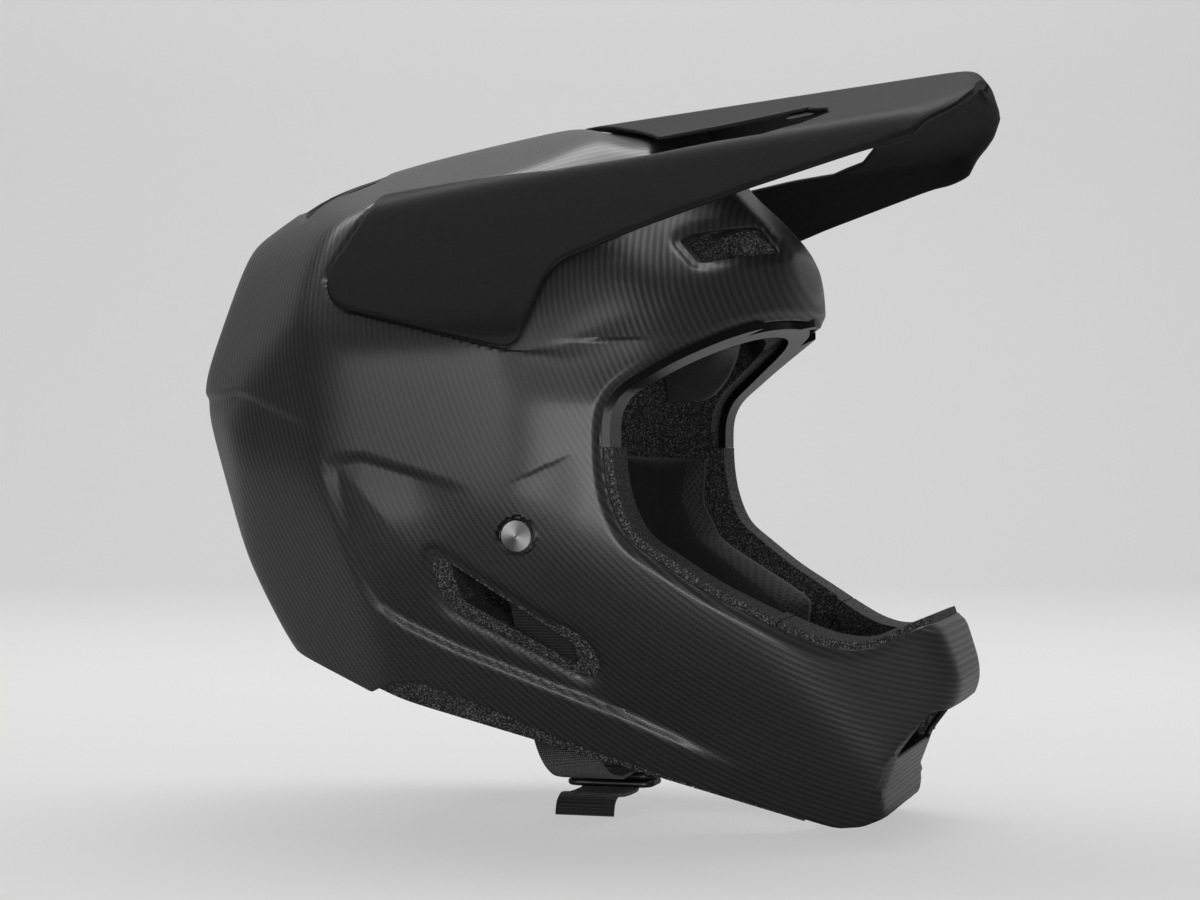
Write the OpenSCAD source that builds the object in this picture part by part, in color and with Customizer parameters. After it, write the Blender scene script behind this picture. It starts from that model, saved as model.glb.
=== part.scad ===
// Full face mountain bike helmet, size M
// +X is forward, +Y is the wearer's left, +Z is up as it is worn.
// The origin is the middle of the space for the head.

/* [Shell] */
// Distance from the middle of the head to the side panels
side_d = 119; // [115:1:124]
// Distance to the crown
crown_d = 125.5; // [122:0.5:130]
// Distance to the back
rear_d = 144; // [140:1:149]
// Distance to the slanted face, from brow to chin beak
face_d = 137; // [134:0.5:140]
// Distance to the panel under the chin beak
chin_d = 210.5; // [207:0.5:214]
// Distance to the slanted base
base_d = 106; // [104:0.5:107]
// How crisp the edges between the panels are
edge_power = 32; // [24:2:40]
// Wall of the carbon shell
shell_t = 2.2; // [1.6:0.1:2.8]
// How far the foam stands out of the base of the shell
foam_drop = 1.5; // [0.5:0.5:2.5]
// How far the back of the shell reaches below its base
nape_drop = 3.5; // [2.5:0.5:4.5]
// How deep the seats of the visor lie in the shell
seat_depth = 1.6; // [1:0.1:2.2]
// How far the back of the shell is set in below its step
rear_in = 5; // [3:0.5:6]
// Depth of the swept step round the lower side, into the wall
swept_in = 1.2; // [0.8:0.1:1.4]
// Width of the swept step
swept_w = 8; // [6:0.5:9]

/* [Liner] */
// Air between shell and foam
fit = 0.3; // [0.2:0.05:0.5]
// Foam at the cheeks
cheek_foam_t = 19; // [16:0.5:22]
// Foam in the chin bar
chin_foam_t = 24; // [20:0.5:28]
// How far the foam stands into the eye port past the shell edge
foam_lip = 4; // [2.5:0.5:5.5]
// Inside length of the foam at the head
head_l = 222; // [214:1:228]
// Inside width of the foam at the head
head_w = 182; // [176:1:186]
// Inside height of the foam over the middle of the head
head_top = 102; // [98:0.5:104]
// Seam between head foam and cheek foam, forward of the middle
seam_x = 53.5; // [52:0.5:55]
// Gap between foam blocks
seam_gap = 0.5; // [0.4:0.1:1]
// Width of the air channels in the foam
channel_w = 14; // [10:1:18]
// Depth of the air channels in the foam
channel_h = 8; // [5:0.5:10]

/* [Pads] */
// Thickness of the cheek pads
cheek_pad_t = 17; // [12:0.5:20]
// Thickness of the crown pad
crown_pad_t = 9; // [6:0.5:12]
// Thickness of the brow pad
brow_pad_t = 9; // [6:0.5:12]
// Thickness of the neck roll
neck_roll_t = 11; // [8:0.5:14]
// Depth of the sewn channels in the pads
quilt_h = 1.6; // [0.8:0.2:2.4]
// Diameter of the press studs behind the cheek pads
stud_d = 11; // [9:0.5:13]

/* [Visor] */
// Wall of the visor
visor_t = 2.4; // [2:0.1:3]
// Air between the visor panels and their seats
visor_gap = 0.8; // [0.6:0.1:1]
// Height of the visor ridge over the crown
ridge_up = 4; // [3.5:0.5:7.5]
// Rise of the visor ridge for each millimetre forward
ridge_rise = 0.112; // [0.1:0.002:0.124]
// Tip of the visor, forward of the middle of the head
visor_x = 190; // [184:1:194]
// Half the width of the visor front
visor_half = 83; // [78:1:86]
// Pivot of the visor, forward of the middle of the head
pivot_x = -40; // [-42:0.5:-38]
// Pivot of the visor, above the middle of the head
pivot_z = 65; // [63:0.5:67]
// Corner of the visor panel round the pivot
pivot_r = 14; // [12.5:0.5:15]
// How far the visor tilts up
visor_tilt = 10; // [6:1:12]
// Diameter of the pivot pegs
peg_d = 8; // [7:0.25:9]
// Running clearance of the pegs in their bushes
peg_play = 0.1; // [0.05:0.05:0.2]
// Outer diameter of the pivot bushes
bush_d = 13; // [12:0.5:14]
// Guide pins, distance from the pivot
guide_r = 52; // [48:1:55]
// Diameter of the guide pins
guide_d = 5; // [4:0.5:6]

/* [Side disc and straps] */
// Side disc, forward of the middle of the head
disc_x = 26; // [24:0.5:28]
// Side disc, below the middle of the head
disc_z = -37; // [-39:0.5:-35]
// Diameter of the side disc
disc_d = 13; // [11:0.5:15]
// Diameter of the rivet behind the disc
rivet_d = 5; // [4:0.5:6]
// Width of the strap webbing
strap_w = 25; // [20:1:27]
// Thickness of the strap webbing
strap_t = 1.6; // [1.2:0.1:2]
// Rod of the D-rings
ring_rod = 3; // [2.5:0.25:3.5]
// Thickness of the anchor plates
anchor_t = 1.5; // [1:0.25:2]

/* [Vents and trim] */
// Wall of the brow frame
frame_t = 3; // [2:0.5:3.5]
// Depth of the brow frame into the helmet
frame_depth = 16; // [12:1:20]
// Half the width of the chin mouth
mouth_half = 50; // [46:1:53]
// Height of the chin vent
vent_h = 17; // [14:1:20]
// Wall of the chin vent frame
vent_frame_t = 2; // [1.5:0.25:2.5]
// Thickness of the chin vent mesh
mesh_t = 1.2; // [0.8:0.2:1.6]
// Bars of the rear grilles, centre to centre
louvre_step = 7; // [6:0.5:9]

/* [Hidden] */
// Longer than the helmet, for cuts that run right through
far = 260;

// Slant of the base
base_up = 72.9;
// Panels of the shell: degrees round from the front, degrees up, distance, share of the seat depth
shell_panels = [
    [180, 80, crown_d, 0], [180, 66.4, crown_d + 6.7, 0], [180, 13.8, rear_d, 0],
    [180, -25, rear_d - 21.5, 0], [0, 67.2, crown_d + 5.4, 0], [0, 45.2, face_d, 0],
    [0, 21.7, face_d, 0], [0, -30.8, chin_d, 0],
    [180, -48.7, base_d + 20, 0], [90, 0, side_d, 1], [112.8, 65.7, crown_d - 0.9, 1],
    [91.3, 30.7, side_d + 3.5, 1], [70.3, 0, side_d + 0.5, 0.6], [52.9, 0, side_d + 20.4, 0],
    [121, 0, side_d + 11.5, 1], [148, 0, rear_d - 7, 1], [138.2, 41.3, rear_d - 10, 1],
    [42.1, 33.4, face_d - 3.5, 0], [64.2, 46.5, crown_d + 6.5, 0.6],
    [83.7, -25, side_d + 3.2, 0], [124.7, -37.7, base_d + 22, 0]];
// Directions in which the surface of the shell is worked out: closer together at the chin
shell_turn = [for (a = [-48 : 4 : -20]) a, for (a = [-9 : 12 : 300]) a];
shell_lean = [for (b = [0 : 12 : 180]) b];

// Panels of the visor; those above the seats lie proud of the shell
visor_proud = visor_t + visor_gap - seat_depth;
visor_slope = 0.33;
ridge_z = crown_d + ridge_up;
visor_power = 80;
ridge_soft = pow(2, 1 / visor_power);
visor_panels = [
    [90, 0, side_d + visor_proud, 0], [91.3, 30.7, side_d + 3.5 + visor_proud, 0],
    [112.8, 65.7, crown_d - 0.9 + visor_proud, 0], [121, 0, side_d + 11.5 + visor_proud, 0],
    [138.2, 41.3, rear_d - 10 + visor_proud, 0],
    [atan2(visor_slope, -ridge_rise), atan2(1, norm([visor_slope, ridge_rise])),
        ridge_z * ridge_soft / norm([visor_slope, ridge_rise, 1]), 0],
    [0, 32, visor_x + 47.5, 0], [45, 32, visor_x + 24, 0], [180, -60, 120, 0], [0, -60, 120, 0]];
visor_turn = [for (a = [10 : 5 : 130]) a, for (a = [150 : 35 : 330]) a];
visor_lean_half = [0, 18, 33, 44, 52, 58, 63, 67, 71, 75, 79, 84];
visor_lean = concat(visor_lean_half, [90], [for (i = [1 : len(visor_lean_half)])
    180 - visor_lean_half[len(visor_lean_half) - i]]);

function facing(turn, up) = [cos(up) * cos(turn), cos(up) * sin(turn), sin(up)];
// Every panel off the middle has its mirror image on the other side
function both_sides(list) = [for (p = list) each (p[0] == 0 || p[0] == 180) ? [p] :
    [p, [-p[0], p[1], p[2], p[3]]]];
function planes(list) = [for (p = both_sides(list)) [facing(p[0], p[1]), p[2], p[3]]];
shell_planes = planes(shell_panels);
visor_planes = planes(visor_panels);
function total(v) = v * [for (i = v) 1];
// Distance to the soft cornered form in one direction
function reach(dir, planes, power, inset, seat) = pow(total([for (p = planes)
    pow(max(0, dir * p[0]) / (p[1] - inset - p[2] * seat), power)]), -1 / power);
function outside(p, planes, power, inset, seat) =
    norm(p) > reach(p / norm(p), planes, power, inset, seat);
// Half width of a form at a place in the side view
function half_width(x, z, planes, power, inset, seat = 0, low = 0, high = 200, left = 22) =
    let (mid = (low + high) / 2) left == 0 ? mid :
    outside([x, mid, z], planes, power, inset, seat)
        ? half_width(x, z, planes, power, inset, seat, low, mid, left - 1)
        : half_width(x, z, planes, power, inset, seat, mid, high, left - 1);
function shell_half(x, z, inset = 0, seat = 0) =
    half_width(x, z, shell_planes, edge_power, inset, seat);
// Lean of the shell surface out of the upright at a place in the side view
function shell_lean_at(x, z, inset = 0, seat = 0) = atan2(
    shell_half(x, z - 1, inset, seat) - shell_half(x, z + 1, inset, seat), 2);

// The soft cornered form as a net of points; the two halves are mirror images
module soft_form(planes, power, turns, leans, inset = 0, seat = 0) {
    rings = len(leans) - 2;
    n = len(turns);
    dirs = [[0, 1, 0], for (i = [1 : rings]) for (a = turns)
        [sin(leans[i]) * cos(a), cos(leans[i]), sin(leans[i]) * sin(a)], [0, -1, 0]];
    at = function (i, j) 1 + (i - 1) * n + j % n;
    last = 1 + rings * n;
    polyhedron([for (d = dirs) d * reach(d, planes, power, inset, seat)], [
        for (j = [0 : n - 1]) each [[0, at(1, j), at(1, j + 1)],
            [last, at(rings, j + 1), at(rings, j)]],
        for (i = [1 : rings - 1]) for (j = [0 : n - 1]) each (i < rings / 2) ?
            [[at(i, j + 1), at(i, j), at(i + 1, j)],
                [at(i, j + 1), at(i + 1, j), at(i + 1, j + 1)]] :
            [[at(i, j), at(i + 1, j), at(i + 1, j + 1)],
                [at(i, j), at(i + 1, j + 1), at(i, j + 1)]]]);
}
module shell_form(inset = 0, seat = 0)
    soft_form(shell_planes, edge_power, shell_turn, shell_lean, inset, seat);
module visor_form(inset = 0)
    soft_form(visor_planes, visor_power, visor_turn, visor_lean, inset);

// A flat outline in the side view, drawn out along Y from one half width to another, on both sides
module across(from = -far, to = far) rotate([90, 0, 0]) translate([0, 0, -to])
    linear_extrude(to - from) children();
module each_side(from, to = far) {
    across(from, to) children();
    across(-to, -from) children();
}
// Joins everything inside into one mesh
module as_one() resize([0, 0, 0]) children();
module soft_corners(r) offset(r, $fn = 16) offset(delta = -2 * r) offset(r, $fn = 16) children();

// Eye port, side view
port_top = [[far, 62], [124, 48], [104, 42.5], [90, 33], [60, 17], [57, 10]];
port_rear = [[57, -10], [58, -26], [64, -40]];
port_low = [[92.5, -60.5], [121, -77.5], [140, -83.5], [157, -82], [176, -72.5], [far, -66]];
module port_2d() soft_corners(4) polygon(concat(port_top, port_rear, port_low));

// Seats of the visor panels: side view and plan
module seat_side_2d(grow = 0) offset(delta = grow) union() {
    polygon([[-150, 72], [pivot_x - pivot_r - 3, pivot_z - 2], [pivot_x - 3, pivot_z - pivot_r - 1],
        [24, 33.5], [44, 32.5], [88, 45], [130, 56], [130, 150], [-150, 150]]);
    translate([pivot_x, pivot_z]) circle(pivot_r + 1, $fn = 24);
}
module seat_plan_2d(grow = 0) for (s = [-1, 1]) offset(delta = grow)
    polygon([for (p = [[-150, -89], [-42, -42], [30, -37], [85, -44], [118, -61], [150, -79],
        [150, 31], [-150, 31]]) [p[0], s * (side_d + p[1])]]);
module seat_zone(grow = 0) intersection() {
    across() seat_side_2d(grow);
    linear_extrude(160) seat_plan_2d(grow);
}
// Mouth under the chin beak, side view
mouth_line = [[191, -101], [170, -110.5], [161, -123], [155.5, -138], [157, -170], [215, -170],
    [215, -101]];
module mouth_zone(grow = 0) across(-mouth_half - grow, mouth_half + grow)
    offset(delta = grow) polygon(mouth_line);
module chin_vent_2d(grow = 0) offset(delta = grow) soft_corners(3)
    translate([-mouth_half + 8, -104 - vent_h - 4]) square([2 * mouth_half - 16, vent_h]);

// Steps of the shell, side view: one round the back, and one swept from the side to the chin
module rear_step_2d() polygon([[-far, 22], [-119.3, 19.5], [-103.1, 20.8], [-94.2, 19.4],
    [-59.2, 7.4], [-18.7, -7.3], [-44, -75], [-70, -far], [-far, -far]]);
swept_line = [[16, far], [16, -20.6], [-38, -4.8], [-46.7, -5.2], [-52, -12], [-41, -57.2],
    [-34.9, -66.3], [-23.7, -73.7], [28, -97.5], [96, -127.5], [far, -199], [far, far]];
module swept_band_2d() intersection() {
    difference() {
        polygon(swept_line);
        offset(delta = -swept_w) polygon(swept_line);
    }
    // The step runs out at its two ends
    polygon([[-60, 0], [-40, 0], [16, -18], [16, -40], [96, -100], [96, -160], [-60, -160]]);
}
// The lower back follows the whole form moved forward and a little less far down, which lies
// clear of the shell at the sides and at the base
rear_clear = 0.5;
rear_shift = [rear_in, 0, 0.6 - rear_in];

// The outside of the helmet without its openings, moved inwards by inset
module skin(inset) difference() {
    shell_form(inset);
    difference() {
        seat_zone(inset);
        shell_form(inset, seat_depth);
    }
    difference() {
        across() offset(delta = inset) rear_step_2d();
        translate(rear_shift) shell_form(inset - rear_clear);
    }
    mouth_zone(inset);
}
// Everything below the base plane at a distance from the middle of the head
module below_base(distance) rotate([0, -(90 + base_up), 0]) translate([-far, -far, distance])
    cube([2 * far, 2 * far, far]);

// Lower edge of the shell, side view: down at the nape, up where the foam shows under it
function base_line(x, drop) = [x, -(base_d + drop - x * cos(180 - base_up)) / sin(base_up)];
shell_edge = [base_line(-far, nape_drop), base_line(-46, nape_drop), [-34.6, -95.8], [-21.5, -95.2],
    [-9.6, -99.2], [12.7, -108.5], [32.2, -117.6], base_line(62, -1), base_line(88, 0),
    base_line(far, 0), [far, -far], [-far, -far]];

// Openings
bush_play = 0.15;
rivet_play = 0.2;
side_vent = [[-11, -46], [-2, -44.5], [36, -69], [50, -84], [49, -94], [44, -96], [17, -80],
    [-4, -67.5], [-9, -58]];
module side_vent_2d() soft_corners(1.5) polygon(side_vent);
module forehead_vent_2d() soft_corners(1)
    polygon([[78, 78], [82, 82], [103, 87.5], [110.5, 76], [88, 67]]);
rear_vent_at = [48 - rear_d, crown_d - 29.5];
module rear_vent_2d() translate(rear_vent_at) soft_corners(1)
    polygon([[0, 0], [35, 16], [39, 10], [10, -6]]);
forehead_vent_y = [27, 78];
rear_vent_y = [26, 52];
module shell_openings() {
    across() port_2d();
    each_side(60) side_vent_2d();
    each_side(forehead_vent_y[0], forehead_vent_y[1]) forehead_vent_2d();
    each_side(rear_vent_y[0], rear_vent_y[1]) rear_vent_2d();
    translate([110, 0, 0]) rotate([90, 0, 90]) linear_extrude(80) chin_vent_2d(vent_frame_t + fit);
    for (s = [-1, 1]) scale([1, s, 1]) {
        translate([disc_x, 90, disc_z]) rotate([-90, 0, 0])
            cylinder(d = rivet_d + 2 * rivet_play, h = 60, $fn = 16);
        at_disc(1) cylinder(d = disc_d + 1, h = disc_d, $fn = 24);
        translate([pivot_x, 60, pivot_z]) rotate([-90, 0, 0])
            cylinder(d = bush_d + 2 * bush_play, h = 80, $fn = 24);
        guide_slot(guide_room, 60, far);
    }
}
// Guide pins, degrees round the pivot from straight ahead, and the room for them in their slots
guide_turn = -22;
guide_room = 0.4;
// The path of a guide pin round the pivot, with room on each side
module guide_slot(room, from, to) translate([pivot_x, from, pivot_z]) rotate([-90, 0, 0])
    linear_extrude(to - from) for (a = [0, visor_tilt / 2]) hull() for (b = [a, a + visor_tilt / 2])
        rotate(-(guide_turn + b)) translate([guide_r, 0]) circle(d = guide_d + 2 * room, $fn = 12);

module outer_shell() color([0.13, 0.13, 0.13]) as_one() difference() {
    skin(0);
    skin(shell_t);
    difference() {
        across() swept_band_2d();
        shell_form(swept_in);
    }
    across() polygon(shell_edge);
    shell_openings();
}

// Space for the head in the foam: middle of the hollow, half length and half width of the neck
head_x = -5;
neck_x = 2;
neck_half = [82, 73];
cheek_end = 118;
head_round = 28;
cheek_inner = shell_t + fit + cheek_foam_t;
chin_inner = shell_t + fit + chin_foam_t;
module head_space() {
    translate([head_x, 0, 0]) scale([head_l / 2, head_w / 2, head_top])
        sphere(1 / cos(180 / head_round), $fn = head_round);
    translate([neck_x, 0, -far]) scale([neck_half[0], neck_half[1], 1])
        cylinder(r = 1, h = far, $fn = head_round);
    intersection() {
        shell_form(cheek_inner);
        translate([0, -far, -far]) cube([cheek_end, 2 * far, far + 4]);
    }
    intersection() {
        shell_form(chin_inner);
        translate([0, -far, -far]) cube([far, 2 * far, far + 4]);
    }
}
module foam_body() difference() {
    skin(shell_t + fit);
    head_space();
    below_base(base_d + foam_drop);
}
// Seams of the foam blocks: cheek blocks start at a plane across, chin block at a slanted plane
seam_top = -3;
chin_seam_d = 139.3;
module ahead_of_chin_seam(shift = 0) rotate([0, 30, 0]) translate([chin_seam_d + shift, -far, -far])
    cube([far, 2 * far, 2 * far]);
module cheek_block() difference() {
    translate([seam_x + seam_gap / 2, -far, -far]) cube([far, 2 * far, far + seam_top - seam_gap / 2]);
    ahead_of_chin_seam(-seam_gap / 2);
}
// Room in front of and below the head foam for the cheek and chin foam
module low_front() translate([seam_x, -far, -far]) cube([far, 2 * far, far + seam_top]);
module foam_openings() {
    each_side(20) offset(delta = -5) side_vent_2d();
    each_side(forehead_vent_y[0] + 2, forehead_vent_y[1] - 2) offset(delta = -1) forehead_vent_2d();
    each_side(rear_vent_y[0] + 4, rear_vent_y[1] - 4) offset(delta = -2) rear_vent_2d();
    translate([136, 0, 0]) rotate([90, 0, 90]) linear_extrude(80) chin_vent_2d(vent_frame_t + fit);
}
// Air channels that run over the head from the brow to the back
channel_y = [-40, 0, 40];
module head_channels() for (y = channel_y) translate([head_x, y, 0]) rotate([90, 0, 0])
    translate([0, 0, -channel_w / 2]) linear_extrude(channel_w) difference() {
        scale([head_l / 2 + channel_h, head_top + channel_h]) circle(1, $fn = 28);
        translate([-far, -2 * far]) square([2 * far, 2 * far + 12]);
    }

module head_foam() color([0.2, 0.2, 0.2]) as_one() difference() {
    foam_body();
    low_front();
    across() intersection() {
        offset(delta = 0.4) port_2d();
        translate([0, seam_top - 1]) square([far, far]);
    }
    foam_openings();
    head_channels();
    for (s = [-1, 1]) scale([1, s, 1]) {
        strap_slot();
        stud_pockets(1, -4, stud_out + fit);
        translate([pivot_x, pivot_y - bush_low - 8, pivot_z]) rotate([-90, 0, 0])
            cylinder(d = bush_d + 6, h = far, $fn = 16);
        guide_slot(1, guide_y - 30, far);
    }
}
module foam_port() across() offset(delta = -foam_lip) port_2d();
module cheek_foam(side) color([0.2, 0.2, 0.2]) as_one() intersection() {
    difference() {
        foam_body();
        foam_port();
        foam_openings();
        stud_pockets(side, -4, stud_out + fit);
    }
    cheek_block();
    scale([1, side, 1]) translate([-far, 0, -far]) cube(2 * far);
}
module chin_foam() color([0.2, 0.2, 0.2]) as_one() difference() {
    intersection() {
        foam_body();
        ahead_of_chin_seam(seam_gap / 2);
        translate([0, -far, -far]) cube([far, 2 * far, far + seam_top]);
    }
    foam_port();
    foam_openings();
}

// Glossy trim under the brow, from one rear corner of the port to the other
module brow_frame() color([0.06, 0.06, 0.06]) as_one() difference() {
    intersection() {
        difference() {
            shell_form(0.8);
            shell_form(frame_depth);
        }
        across() difference() {
            offset(delta = -fit) port_2d();
            offset(delta = -fit - frame_t) port_2d();
        }
        translate([0, -far, seam_top + 1]) cube([far, 2 * far, 100]);
    }
    brow_slits();
}
// Slit vents between the frame and the shell, on each side of the fin in the middle
slit_y = [6, 52];
slit_depth = 7;
module brow_slits() difference() {
    intersection() {
        each_side(slit_y[0], slit_y[1]) translate([94, 0]) square([60, 80]);
        shell_form(0);
    }
    shell_form(slit_depth);
}

// A pillow between two sheets of points, closed round the edge
module pillow(outer, inner) {
    rows = len(outer);
    cols = len(outer[0]);
    at = function (sheet, i, j) sheet * rows * cols + i * cols + j;
    rim = [for (j = [0 : cols - 1]) [0, j], for (i = [1 : rows - 1]) [i, cols - 1],
        for (j = [cols - 2 : -1 : 0]) [rows - 1, j], for (i = [rows - 2 : -1 : 1]) [i, 0]];
    polyhedron([for (sheet = [outer, inner]) for (row = sheet) each row], [
        for (i = [0 : rows - 2]) for (j = [0 : cols - 2]) each [
            [at(0, i, j), at(0, i + 1, j), at(0, i + 1, j + 1)],
            [at(0, i, j), at(0, i + 1, j + 1), at(0, i, j + 1)],
            [at(1, i, j), at(1, i + 1, j + 1), at(1, i + 1, j)],
            [at(1, i, j), at(1, i, j + 1), at(1, i + 1, j + 1)]],
        for (k = [0 : len(rim) - 1]) let (a = rim[k], b = rim[(k + 1) % len(rim)]) each [
            [at(0, a[0], a[1]), at(0, b[0], b[1]), at(1, b[0], b[1])],
            [at(0, a[0], a[1]), at(1, b[0], b[1]), at(1, a[0], a[1])]]]);
}
function mix(a, b, t) = a + (b - a) * t;
// Height of a pillow's crown: 0 at its edges, 1 in the middle, u and v from 0 to 1
function crown(u, v) = pow(max(0, 1 - pow(abs(2 * u - 1), 4)), 0.5) *
    pow(max(0, 1 - pow(abs(2 * v - 1), 4)), 0.5);
// Sewn channels along a pillow
function quilt(v, channels) = quilt_h * pow(abs(cos(180 * v * (channels + 1))), 12);
// Edges of a pillow run back towards its middle, so that its sides draw in
function spread(t, steps) = 0.5 - 0.5 * cos(180 * t / steps);

// Pads on the head foam: sheets at degrees round and up on the head space
function on_head(turn, up, depth) = let (d = facing(turn, up)) [head_x, 0, 0] +
    [d[0] * (head_l / 2 - depth), d[1] * (head_w / 2 - depth), d[2] * (head_top - depth)];
module head_pad(turns, ups, thick, channels, steps) {
    edge = thick * 0.3;
    sheet = function (inner) [for (i = [0 : steps[0]]) [for (j = [0 : steps[1]])
        let (u = spread(i, steps[0]), v = spread(j, steps[1]), c = crown(u, v),
            draw = inner ? 0 : 0.02 * (1 - c),
            uu = u + (0.5 - u) * draw, vv = v + (0.5 - v) * draw)
        on_head(mix(turns[0], turns[1], uu), mix(ups[0], ups[1], vv),
            3 * fit + (inner ? edge + (thick - edge) * c - c * quilt(v, channels)
                : (1 - c) * edge * 0.4))]];
    pillow(sheet(false), sheet(true));
}
// The crown pad runs over the head from front to back, and as many degrees to each side
crown_from = 60;
crown_to = 134;
crown_aside = 36;
module crown_pad() color([0.1, 0.1, 0.11]) {
    steps = [18, 10];
    edge = crown_pad_t * 0.3;
    sheet = function (inner) [for (i = [0 : steps[0]]) [for (j = [0 : steps[1]])
        let (u = spread(i, steps[0]), v = spread(j, steps[1]), c = crown(u, v),
            depth = 3 * fit + (inner ? edge + (crown_pad_t - edge) * c - c * quilt(v, 2)
                : (1 - c) * edge * 0.4),
            over = mix(crown_from, crown_to, u), aside = 90 + crown_aside * (2 * v - 1),
            d = [sin(aside) * cos(over), cos(aside), sin(aside) * sin(over)])
        [head_x, 0, 0] + [d[0] * (head_l / 2 - depth), d[1] * (head_w / 2 - depth),
            d[2] * (head_top - depth)]]];
    pillow(sheet(false), sheet(true));
}
module brow_pad() color([0.1, 0.1, 0.11]) head_pad([-58, 58], [30, 44], brow_pad_t, 0, [20, 6]);
module neck_roll() color([0.1, 0.1, 0.11]) head_pad([130, 230], [-34, -8], neck_roll_t, 1, [18, 8]);

// Cheek pads: sheets over a side view patch between a front edge and a rear edge
pad_front = [[61, -7], [62, -26], [70, -42], [96, -58], [116, -71], [109, -85], [96, -106]];
pad_rear = [[6, -7], [2, -22], [4, -38], [14, -58], [30, -76], [44, -90], [58, -102]];
function along(line, t) = let (s = min(t, 0.9999) * (len(line) - 1), i = floor(s))
    mix(line[i], line[i + 1], s - i);
function cheek_point(u, v, depth, side) = let (p = mix(along(pad_rear, u), along(pad_front, u), v))
    [p[0], side * (shell_half(p[0], p[1], cheek_inner + fit) - depth), p[1]];
module cheek_pillow(side) {
    steps = [14, 10];
    edge = cheek_pad_t * 0.35;
    sheet = function (inner) [for (i = [0 : steps[0]]) [for (j = [0 : steps[1]])
        let (u = spread(i, steps[0]), v = spread(j, steps[1]), c = crown(u, v))
        cheek_point(u, v, inner ? edge + (cheek_pad_t - edge) * c - c * quilt(v, 1)
            : (1 - c) * edge * 0.4 - 2, side)]];
    if (side > 0) pillow(sheet(false), sheet(true));
    else pillow(sheet(true), sheet(false));
}
module cheek_pad(side) color([0.1, 0.1, 0.11]) as_one() difference() {
    intersection() {
        cheek_pillow(side);
        shell_form(cheek_inner + fit);
    }
    ahead_of_chin_seam(-1);
    stud_pockets(side, -stud_in - fit, 20);
}
// Press studs between foam and cheek pad, partly in each
stud_places = [[44, -30], [72, -60], [88, -86]];
stud_in = 1.8;
stud_out = 2;
module stud_pockets(side, from, to, room = 0.3) scale([1, side, 1]) for (p = stud_places)
    translate([p[0], shell_half(p[0], p[1], cheek_inner) + from, p[1]])
        rotate([-90, 0, 0]) cylinder(d = stud_d + 2 * room, h = to - from, $fn = room > 0 ? 16 : 32);
module cheek_studs(side) color([0.3, 0.3, 0.3]) stud_pockets(side, -stud_in, stud_out, 0);

// Side discs: spun face, rivet shank through the shell and anchor plate
disc_y = shell_half(disc_x, disc_z);
module at_disc(side) scale([1, side, 1]) translate([disc_x, disc_y, disc_z]) rotate([-90, 0, 0])
    children();
module side_disc(side) color([0.72, 0.72, 0.72]) at_disc(side) {
    rotate_extrude($fn = 48) polygon([[0, -shank], [rivet_d / 2, -shank], [rivet_d / 2, 0.2],
        [disc_d / 2, 0.2], [disc_d / 2, 1], [disc_d / 2 - 0.6, 1.6], [0, 1.8]]);
}
anchor_gap = 0.1;
// Anchor plates and straps, forward of the middle of the head
strap_x = 30;
anchor_h = 18;
anchor_y = shell_half(strap_x + strap_w / 2, disc_z - anchor_h / 2, shell_t) - fit - anchor_t;
shank = disc_y - anchor_y - anchor_gap;
module strap_anchor(side) color([0.6, 0.6, 0.62]) scale([1, side, 1])
    translate([strap_x, anchor_y, disc_z]) rotate([-90, 0, 0]) difference() {
        translate([-strap_w / 2, -anchor_h / 2, 0]) cube([strap_w, anchor_h, anchor_t]);
        translate([disc_x - strap_x, 0, -1]) cylinder(d = rivet_d + anchor_gap, h = anchor_t + 2, $fn = 32);
    }

// Webbing: a line in the front view, given thickness and width
function unit(v) = v / norm(v);
function turned(line, i) = let (a = line[max(0, i - 1)], b = line[min(len(line) - 1, i + 1)],
    d = unit(b - a)) [-d[1], d[0]];
module webbing(line, thick, wide, x) translate([x + wide / 2, 0, 0]) rotate([90, 0, -90])
    mirror([1, 0, 0]) linear_extrude(wide) polygon([
        for (i = [0 : len(line) - 1]) line[i] + turned(line, i) * thick / 2,
        for (i = [len(line) - 1 : -1 : 0]) line[i] - turned(line, i) * thick / 2]);
// Points on a smooth curve through a few places
function smooth(p, i, t) = let (a = p[max(0, i - 1)], b = p[i], c = p[i + 1],
    d = p[min(len(p) - 1, i + 2)]) 0.5 * ((2 * b) + (c - a) * t +
    (2 * a - 5 * b + 4 * c - d) * t * t + (3 * b - 3 * c + d - a) * t * t * t);
function curve(p, steps = 4) = [for (i = [0 : len(p) - 2]) for (k = [0 : steps - 1])
    smooth(p, i, k / steps), p[len(p) - 1]];

// Upper end of the straps, inside the anchor plates
strap_y = anchor_y - strap_t / 2 - 0.3;
ring_z = -143.5;
turn_r = ring_rod + 0.5 + strap_t / 2;
// Bars of the D-rings: the near bar carries the long strap, the other the short one
ring_bar = [2, 16];
ring_corner = 4;
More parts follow.
